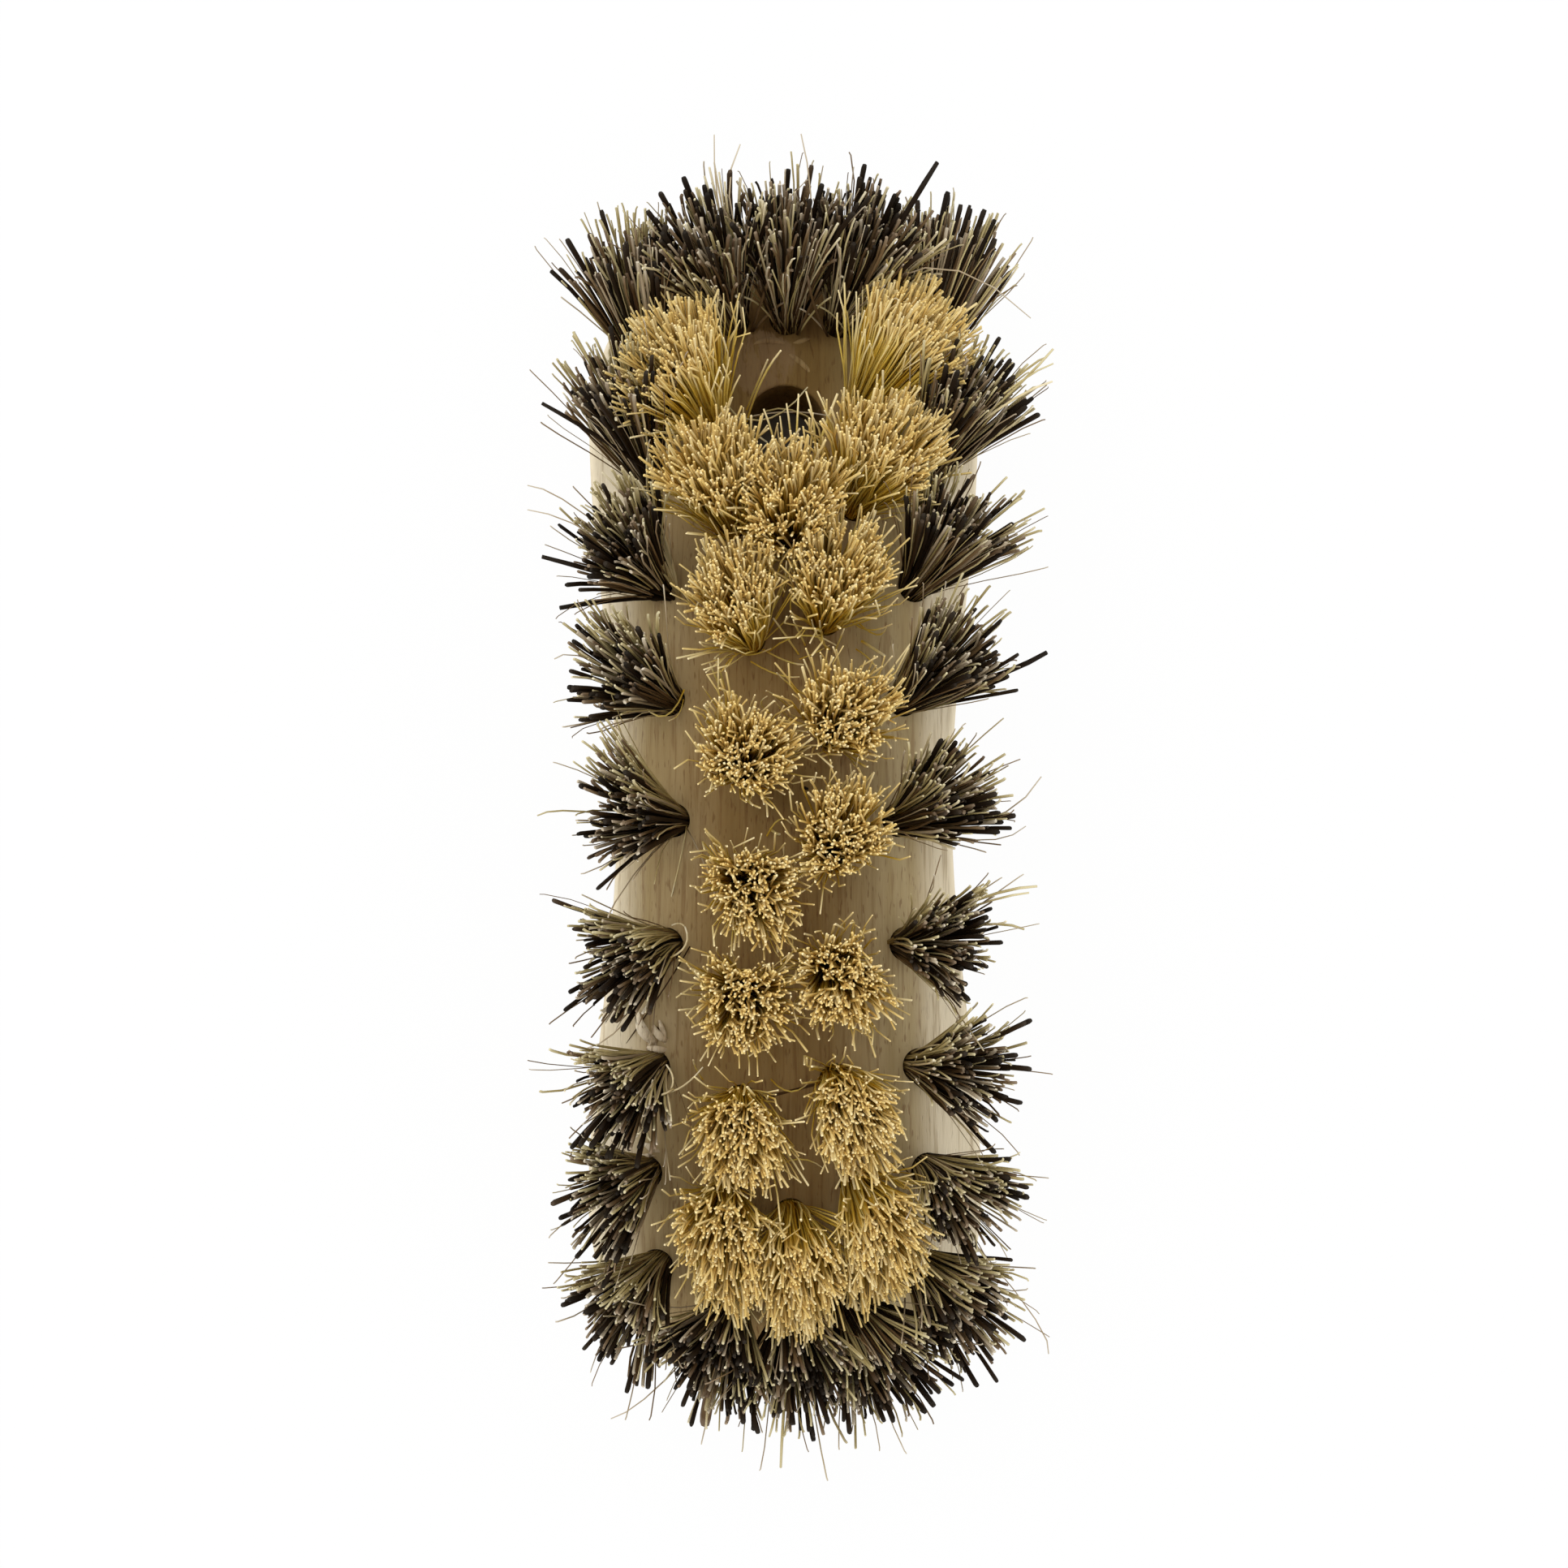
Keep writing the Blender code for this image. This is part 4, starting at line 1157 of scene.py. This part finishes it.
LOOSE_PALE = LooseSet("loose_pale_fibres", Slot.PALE, (
    (0.32, 0.8, (947, 803, 21.5), (988, 783, 30), (1030, 795, 24)),
    (0.32, 0.9, (940, 800, 22), (968, 814, 27), (990, 819, 33)),
    (0.3, 0.6, (915, 806, 22), (930, 806, 24), (950, 799, 26)),
    (0.3, 0.8, (909, 806, 22), (893, 803, 24), (880, 812, 26)),
    (0.38, 0.9, (888, 850, 23), (882, 835, 30), (874, 816, 36)),
    (0.36, 0.9, (893, 850, 23), (888, 830, 30), (881, 810, 36)),
    (0.36, 0.95, (984, 806, 21.5), (968, 783, 26), (953, 762, 33)),
    (0.36, 0.95, (992, 795, 21.5), (985, 780, 28), (978, 766, 34)),
    (0.28, 0.7, (985, 812, 26), (1003, 805, 24), (1022, 795, 21.5)),
    (0.3, 0.7, (930, 799, 21.5), (956, 776, 26), (975, 757, 30)),
    (0.26, 0.6, (975, 757, 30), (974, 744, 31), (977, 729, 33)),
    (0.28, 0.75, (925, 815, 22), (958, 831, 26), (985, 834, 29)),
    (0.3, 0.85, (995, 858, 23), (975, 845, 28), (957, 829, 33)),
    (0.28, 0.9, (925, 730, 22), (950, 712, 34), (966, 701, 40)),
    (0.28, 0.9, (965, 735, 22), (969, 715, 34), (964, 699, 40)),
    (0.34, 0.9, (1028, 804, 22), (1034, 790, 30), (1040, 775, 37)),
    (0.4, 0.95, (1022, 800, 22), (1008, 785, 28), (1000, 764, 35)),
    (0.36, 0.95, (1018, 800, 22), (1012, 780, 30), (1010, 765, 36)),
    (0.3, 0.7, (1045, 760, 22), (1068, 776, 30), (1099, 769, 38)),
    (0.3, 0.7, (1055, 765, 23), (1080, 782, 30), (1093, 771, 36)),
    (0.5, 1.0, (1062, 790, 22), (1076, 799, 26), (1090, 808, 30)),
    (0.3, 0.8, (1055, 800, 22), (1070, 811, 28), (1082, 826, 34)),
    (0.3, 0.8, (884, 872, 23), (874, 858, 30), (866, 846, 36)),
    (0.3, 0.9, (950, 880, 22), (938, 868, 28), (945, 858, 33)),
    (0.3, 0.9, (975, 888, 22), (964, 876, 29), (955, 864, 35)),
    (0.3, 0.9, (972, 872, 24), (960, 861, 30), (944, 851, 37)),
    (0.36, 0.9, (920, 520, 23), (938, 470, 33), (962, 432, 42)),
    (0.34, 0.9, (920, 505, 23), (930, 480, 28), (946, 443, 36)),
    (0.3, 0.9, (866, 1330, 23), (858, 1318, 28), (854, 1306, 33)),
    (0.34, 0.8, (945, 1030, 22), (960, 1010, 25), (975, 1015, 24)),
    (0.3, 0.8, (965, 1185, 22), (985, 1170, 26), (1010, 1180, 24)),
    (0.3, 0.8, (950, 1330, 22), (975, 1345, 28), (1000, 1330, 24)),
    (0.3, 0.8, (955, 1440, 22), (985, 1428, 30), (1015, 1440, 26)),
    (0.3, 0.9, (842, 862, 22), (836, 880, 25), (824, 888, 27)),
    (0.32, 0.9, (843, 850, 23), (820, 882, 28), (792, 868, 30)),
    (0.5, 1.0, (949, 1021, 21.1), (955, 1026, 21.6), (961, 1028, 21.1)),
    (0.36, 0.75, (893, 528, 24), (868, 470, 36), (862, 415, 43)),
    (0.36, 0.85, (896, 530, 24), (880, 480, 36), (880, 420, 44)),
    (0.34, 0.7, (898, 530, 24), (892, 490, 34), (899, 440, 40)),
    (0.34, 0.8, (892, 530, 24), (860, 490, 35), (838, 450, 41)),
    (0.34, 0.8, (898, 532, 23), (897, 500, 32), (912, 462, 37)),
    (0.36, 0.95, (966, 600, 30), (955, 548, 37), (941, 504, 41)),
    (0.34, 0.9, (970, 600, 30), (966, 556, 37), (961, 513, 42)),
    (0.34, 0.95, (976, 600, 30), (975, 548, 37), (969, 497, 41)),
    (0.34, 0.9, (978, 600, 30), (981, 545, 37), (984, 485, 40)),
    (0.38, 0.95, (1000, 590, 30), (1004, 536, 37), (993, 482, 40)),
    (0.34, 0.9, (1030, 570, 30), (1024, 526, 37), (1007, 482, 40)),
    (0.52, 0.9, (998, 590, 30), (1012, 540, 37), (1032, 485, 41)),
    (0.34, 0.7, (894, 532, 23), (872, 500, 33), (858, 468, 38)),
))

LOOSE_DARK = LooseSet("loose_dark_stalks", Slot.DARK, (
    (0.36, 0.96, (820, 1346, 38), (842, 1338, 37), (866, 1315, 36)),
    (0.38, 0.98, (830, 1342, 38), (808, 1351, 39), (788, 1350, 39)),
    (0.34, 0.95, (794, 1351, 39), (801, 1341, 39), (804, 1330, 39)),
    (0.34, 0.95, (826, 1343, 38), (829, 1328, 38), (821, 1312, 37)),
    (0.36, 0.95, (826, 1180, 37), (845, 1164, 36), (844, 1142, 34)),
    (0.3, 0.94, (844, 1143, 34), (838, 1138, 34), (828, 1140, 35)),
    (0.34, 0.78, (905, 510, 24), (950, 515, 27), (995, 477, 32)),
    (0.3, 0.56, (900, 520, 23), (960, 508, 24), (1020, 512, 22)),
    (0.4, 0.8, (880, 480, 24), (915, 520, 24), (945, 545, 22)),
    (0.3, 0.66, (930, 515, 23), (975, 505, 27), (1030, 540, 24)),
    (1.0, 0.02, (834, 739, 19), (780, 737, 27), (690, 749, 33)),
    (0.95, 0.05, (1030, 410, 22), (1100, 290, 40), (1155, 200, 45)),
    (1.0, 0.04, (1104, 866, 21), (1215, 838, 33), (1301, 804, 40)),
    (0.9, 0.1, (830, 737, 21), (760, 712, 33), (668, 686, 40)),
    (0.85, 0.08, (830, 600, 22), (740, 540, 38), (668, 497, 45)),
    (0.5, 0.74, (1110, 600, 23), (1230, 500, 42), (1308, 430, 48)),
    (0.42, 0.78, (1110, 598, 23), (1225, 495, 42), (1303, 448, 48)),
    (0.42, 0.9, (1112, 596, 23), (1222, 510, 42), (1300, 470, 47)),
    (0.4, 0.7, (1112, 596, 23), (1235, 480, 42), (1290, 440, 47)),
    (0.22, 0.5, (832, 735, 23), (730, 660, 42), (634, 628, 48)),
    (0.22, 0.5, (832, 735, 23), (720, 635, 42), (642, 598, 48)),
    (0.24, 0.5, (1095, 1008, 23), (1210, 1012, 38), (1283, 957, 46)),
    (0.24, 0.5, (1095, 1008, 23), (1200, 1035, 38), (1264, 1018, 45)),
    (0.5, 0.75, (1094, 1160, 22), (1200, 1110, 38), (1278, 1092, 44)),
    (0.4, 0.8, (1094, 1160, 22), (1195, 1118, 38), (1268, 1100, 44)),
    (0.45, 0.7, (1094, 1162, 22), (1200, 1140, 38), (1262, 1145, 44)),
    (0.24, 0.5, (1110, 1435, 23), (1250, 1590, 42), (1292, 1668, 38)),
    (0.26, 0.5, (842, 1160, 22), (775, 1255, 24), (722, 1292, 20)),
    (0.26, 0.2, (850, 1166, 22), (820, 1215, 21), (770, 1288, 19)),
    (0.3, 0.82, (846, 1018, 22), (838, 1060, 22), (826, 1110, 20)),
    (0.26, 0.5, (846, 1020, 22), (868, 1065, 24), (886, 1120, 23)),
    (0.24, 0.5, (925, 398, 23), (890, 280, 42), (880, 166, 46)),
    (0.3, 0.55, (972, 412, 23), (905, 280, 42), (912, 178, 46)),
    (0.26, 0.5, (985, 412, 23), (1000, 280, 42), (987, 165, 47)),
    (0.26, 0.5, (1033, 416, 23), (1140, 330, 42), (1270, 392, 40)),
    (0.5, 0.7, (980, 1592, 23), (968, 1710, 40), (962, 1808, 40)),
    (0.42, 0.72, (980, 1592, 23), (960, 1715, 40), (948, 1770, 38)),
    (0.26, 0.5, (915, 1588, 23), (820, 1700, 38), (753, 1748, 34)),
    (0.3, 0.7, (838, 1020, 23), (720, 1000, 36), (662, 1005, 40)),
    (0.26, 0.5, (840, 872, 23), (735, 815, 38), (683, 812, 42)),
    (0.45, 0.86, (915, 380, 24), (889, 290, 38), (868, 217, 45)),
    (0.45, 0.94, (916, 380, 24), (892, 284, 38), (874, 206, 46)),
    (0.45, 0.98, (917, 380, 24), (895, 281, 38), (880, 200, 46)),
    (0.45, 0.9, (915, 380, 24), (898, 287, 38), (886, 212, 46)),
    (0.45, 0.84, (916, 380, 24), (901, 293, 38), (893, 224, 46)),
    (0.45, 0.8, (917, 380, 24), (885, 298, 38), (861, 233, 45)),
    (0.42, 0.84, (838, 738, 22), (790, 652, 35), (733, 592, 43)),
    (0.42, 0.9, (839, 738, 22), (794, 647, 35), (742, 582, 43)),
    (0.42, 0.95, (840, 738, 22), (800, 644, 35), (753, 577, 44)),
    (0.42, 0.86, (838, 738, 22), (806, 643, 35), (765, 574, 44)),
    (0.42, 0.8, (839, 738, 22), (811, 647, 35), (776, 582, 44)),
    (0.42, 0.78, (840, 738, 22), (787, 659, 35), (727, 606, 43)),
    (0.42, 0.9, (838, 738, 22), (816, 652, 35), (786, 592, 43)),
    (0.42, 0.82, (839, 738, 22), (784, 667, 35), (721, 622, 42)),
    (0.5, 0.3, (926, 408, 22), (938, 372, 32), (950, 338, 40)),
    (0.46, 0.24, (960, 410, 22), (944, 372, 31), (936, 346, 37)),
    (0.4, 0.62, (962, 410, 22), (940, 380, 29), (917, 366, 33)),
    (0.44, 0.34, (928, 408, 22), (950, 384, 28), (968, 372, 31)),
    (0.5, 0.28, (1020, 414, 22), (1004, 378, 31), (995, 340, 39)),
    (0.46, 0.3, (982, 412, 22), (1000, 374, 31), (1013, 345, 38)),
    (0.4, 0.7, (984, 412, 22), (1003, 384, 29), (1024, 366, 33)),
    (0.36, 0.56, (1022, 414, 22), (1000, 390, 27), (985, 380, 29)),
    (0.4, 0.2, (1048, 418, 22), (1056, 380, 31), (1062, 348, 38)),
    (0.34, 0.76, (1046, 418, 22), (1030, 392, 27), (1006, 376, 30)),
    (0.6, 0.02, (990, 971, 21.1), (992, 971, 21.4), (995, 972, 21.1)),
    (2.3, 0.27, (784, 1227, 30), (772, 1240, 31), (759, 1256, 28)),
    (2.1, 0.25, (877, 1708, 31), (872, 1730, 29), (868, 1754, 26)),
    (2.4, 0.24, (807, 1262, 18.8), (815, 1272, 19.4), (824, 1281, 18.9)),
))

TORN_WOOD = LooseSet("torn_wood", Slot.BEECH, (
    (2.2, 0.5, (786, 1246, 19.0), (792, 1270, 22.0), (812, 1288, 19.8)),
    (1.4, 0.5, (796, 1290, 19.8), (810, 1293, 21.2), (826, 1294, 20.0)),
    (1.5, 0.5, (804, 1262, 19.8), (812, 1276, 21.8), (826, 1284, 20.0)),
    (1.1, 0.5, (812, 1256, 20.2), (817, 1272, 21.4), (820, 1288, 20.4)),
    (1.6, 0.5, (790, 1408, 19.6), (802, 1414, 21.2), (818, 1418, 20.0)),
    (1.2, 0.5, (784, 1420, 19.2), (797, 1424, 20.8), (812, 1424, 20.0)),
    (1.3, 0.5, (926, 424, 20.9), (950, 419, 21.1), (970, 425, 20.9)),
    (1.0, 0.5, (976, 424, 20.9), (988, 420, 21.1), (1000, 416, 20.9)),
    (1.1, 0.5, (966, 434, 20.85), (986, 446, 21.05), (1002, 464, 20.85)),
), flat=(0.12, 0.25), lying=True)


@dataclass(frozen=True)
class Studio:
    """Pale floor, soft plain light and a white surround."""

    floor_size: float = 3.0
    floor_gap: float = 0.0002
    floor_colour: Colour = (0.86, 0.86, 0.86)
    # Painted shadow colour of the floor under the brush.
    painted_shadow_colour: Colour = (0.2, 0.17, 0.13)
    shadow_share: float = 0.05
    under_reach: Pair = (0.030, 0.097)
    under_edge: Pair = (0.9, 1.1)
    squareness: float = 4.0
    sky: float = 1.06
    lamp_size: float = 0.9
    lamp_place: Triple = (-0.35, 0.35, 1.1)
    lamp_power: float = 3.4

    def seen(self, book: NodeBook) -> Link:
        """1 for what the camera sees directly or through gloss or glass."""
        rays = book.node("ShaderNodeLightPath").socket.node.outputs
        camera, glossy, through = (
            Link(book, rays[name]) for name in ("Is Camera Ray", "Is Glossy Ray", "Is Transmission Ray"))
        return book.maths("MAXIMUM", camera, book.maths("MAXIMUM", glossy, through))

    def beyond_brush(self, book: NodeBook) -> Link:
        """0 under the brush, where the floor lies in its shadow, and 1 all round it."""
        place = book.node("ShaderNodeTexCoord", output="Object")
        reach_x, reach_y = self.under_reach
        x, y, _ = book.axes(book.scaled(place, (1 / reach_x, 1 / reach_y, 1.0)))
        across, along = (
            book.maths("POWER", book.maths("ABSOLUTE", value), self.squareness) for value in (x, y))
        return book.band(across + along, *self.under_edge)

    def build_floor(self) -> None:
        """A white floor that keeps a faint shadow, with a painted dark shadow colour under the brush."""
        bm = bmesh.new()
        bmesh.ops.create_grid(bm, x_segments=1, y_segments=1, size=self.floor_size / 2)
        bmesh.ops.translate(bm, verts=bm.verts, vec=(0, 0, -self.floor_gap))
        mesh = mesh_of("floor", bm)
        book = NodeBook(bpy.data.materials.new("white_floor"))
        beyond = self.beyond_brush(book)
        # Painted shadow: under the brush the floor takes a dark brown colour, which shows through the
        # hanging hole.
        plain = book.node("ShaderNodeBsdfDiffuse",
                          sockets={"Color": book.mix(beyond, self.painted_shadow_colour, self.floor_colour)})
        glow = book.node("ShaderNodeEmission", sockets={"Color": (1.0, 1.0, 1.0), "Strength": 1.0})
        share = self.seen(book) * (1 - self.shadow_share) * beyond
        mixed = book.node("ShaderNodeMixShader", sockets={0: share, 1: plain, 2: glow})
        book.node("ShaderNodeOutputMaterial", sockets={"Surface": mixed})
        mesh.materials.append(book.holder)
        placed("floor", mesh)

    def build_world(self) -> None:
        """An even sky that the camera sees as white."""
        world = bpy.data.worlds.new("studio")
        bpy.context.scene.world = world
        book = NodeBook(world)
        strength = self.sky + self.seen(book) * (1 - self.sky)
        sky = book.node("ShaderNodeBackground", sockets={"Color": (1.0, 1.0, 1.0), "Strength": strength})
        book.node("ShaderNodeOutputWorld", sockets={"Surface": sky})

    def build_lamp(self) -> None:
        """One wide lamp over the brush."""
        data = bpy.data.lights.new("soft_lamp", "AREA")
        data.shape = "DISK"
        data.size = self.lamp_size
        data.energy = self.lamp_power
        lamp = placed("soft_lamp", data)
        lamp.location = self.lamp_place
        lamp.rotation_euler = Vector(self.lamp_place).to_track_quat("Z", "Y").to_euler()

    def build(self) -> None:
        """Set the stage."""
        self.build_floor()
        self.build_world()
        self.build_lamp()
        bpy.context.scene.view_settings.view_transform = "Standard"


def dark_tuft(seat: TuftSeat, bars: Bars, finish: bpy.types.Material) -> Tuft:
    """A tuft of stiff stalks. The end by the hanging hole has its olive strands on the inner side."""
    group = seat.name.split("_")[2]
    strains = {"top": TOP_STRAINS, "bottom": BOTTOM_STRAINS, "right": RIGHT_STRAINS}.get(group, DARK_STRAINS)
    upright = group == "top" or seat.name.endswith("t_1")
    return Tuft(seat, strains, bars, finish, spread=(7.8, 10.2), clumps=18, pull=(0.1, 0.6),
                inner_share=0.95 if upright else 0.6, above=(0.3, 0.6, 0.86, 0.985, 1.0),
                olive_heading=-math.pi / 2 if group == "top" else math.pi / 2)


def pale_tuft(seat: TuftSeat, bars: Bars, finish: bpy.types.Material) -> Tuft:
    """A tuft of fine fibres, which spreads more widely near the ends."""
    group = seat.name.split("_")[2]
    spreads = {"top": (9.6, 11.2), "bottom": (7.2, 12.2), "tuft_pale_right_1": (8.8, 9.2)}
    spread = spreads.get(seat.name) or spreads.get(group, (7.2, 8.9))
    return Tuft(seat, PALE_STRAINS, bars, finish, spread=spread, clumps=24, pull=(0.05, 0.5),
                inner_share={"top": 0.68, "bottom": 0.75}.get(group, 0.85))


def main() -> None:
    """Dress the brush, sub-assembly by sub-assembly."""
    logging.basicConfig(level=logging.INFO, format="%(message)s")
    CAMERA.build()
    Studio().build()
    seats = TuftPlan().seats()
    pieces = [Block(seats).build()]
    dark, pale = DARK_FINISH.material(), PALE_FINISH.material()
    dark_bars = Bars(sides=6, marks=(0.0, 0.24, 0.42, 0.6, 0.78, 0.92, 0.955))
    pale_bars = Bars(sides=4, marks=(0.0, 0.24, 0.45, 0.66, 0.86, 0.955))
    for seat in seats:
        tuft = dark_tuft(seat, dark_bars, dark) if seat.dark else pale_tuft(seat, pale_bars, pale)
        pieces.append(tuft.build())
    torn = BeechFinish(name="torn_beech", light=(0.86, 0.76, 0.58), deep=(0.76, 0.65, 0.47))
    pieces += [LOOSE_PALE.build(pale), LOOSE_DARK.build(dark), TORN_WOOD.build(torn.material())]
    for piece in pieces:
        log.info("%s: %d faces", piece.name, len(piece.data.polygons))


if __name__ == "__main__":
    main()
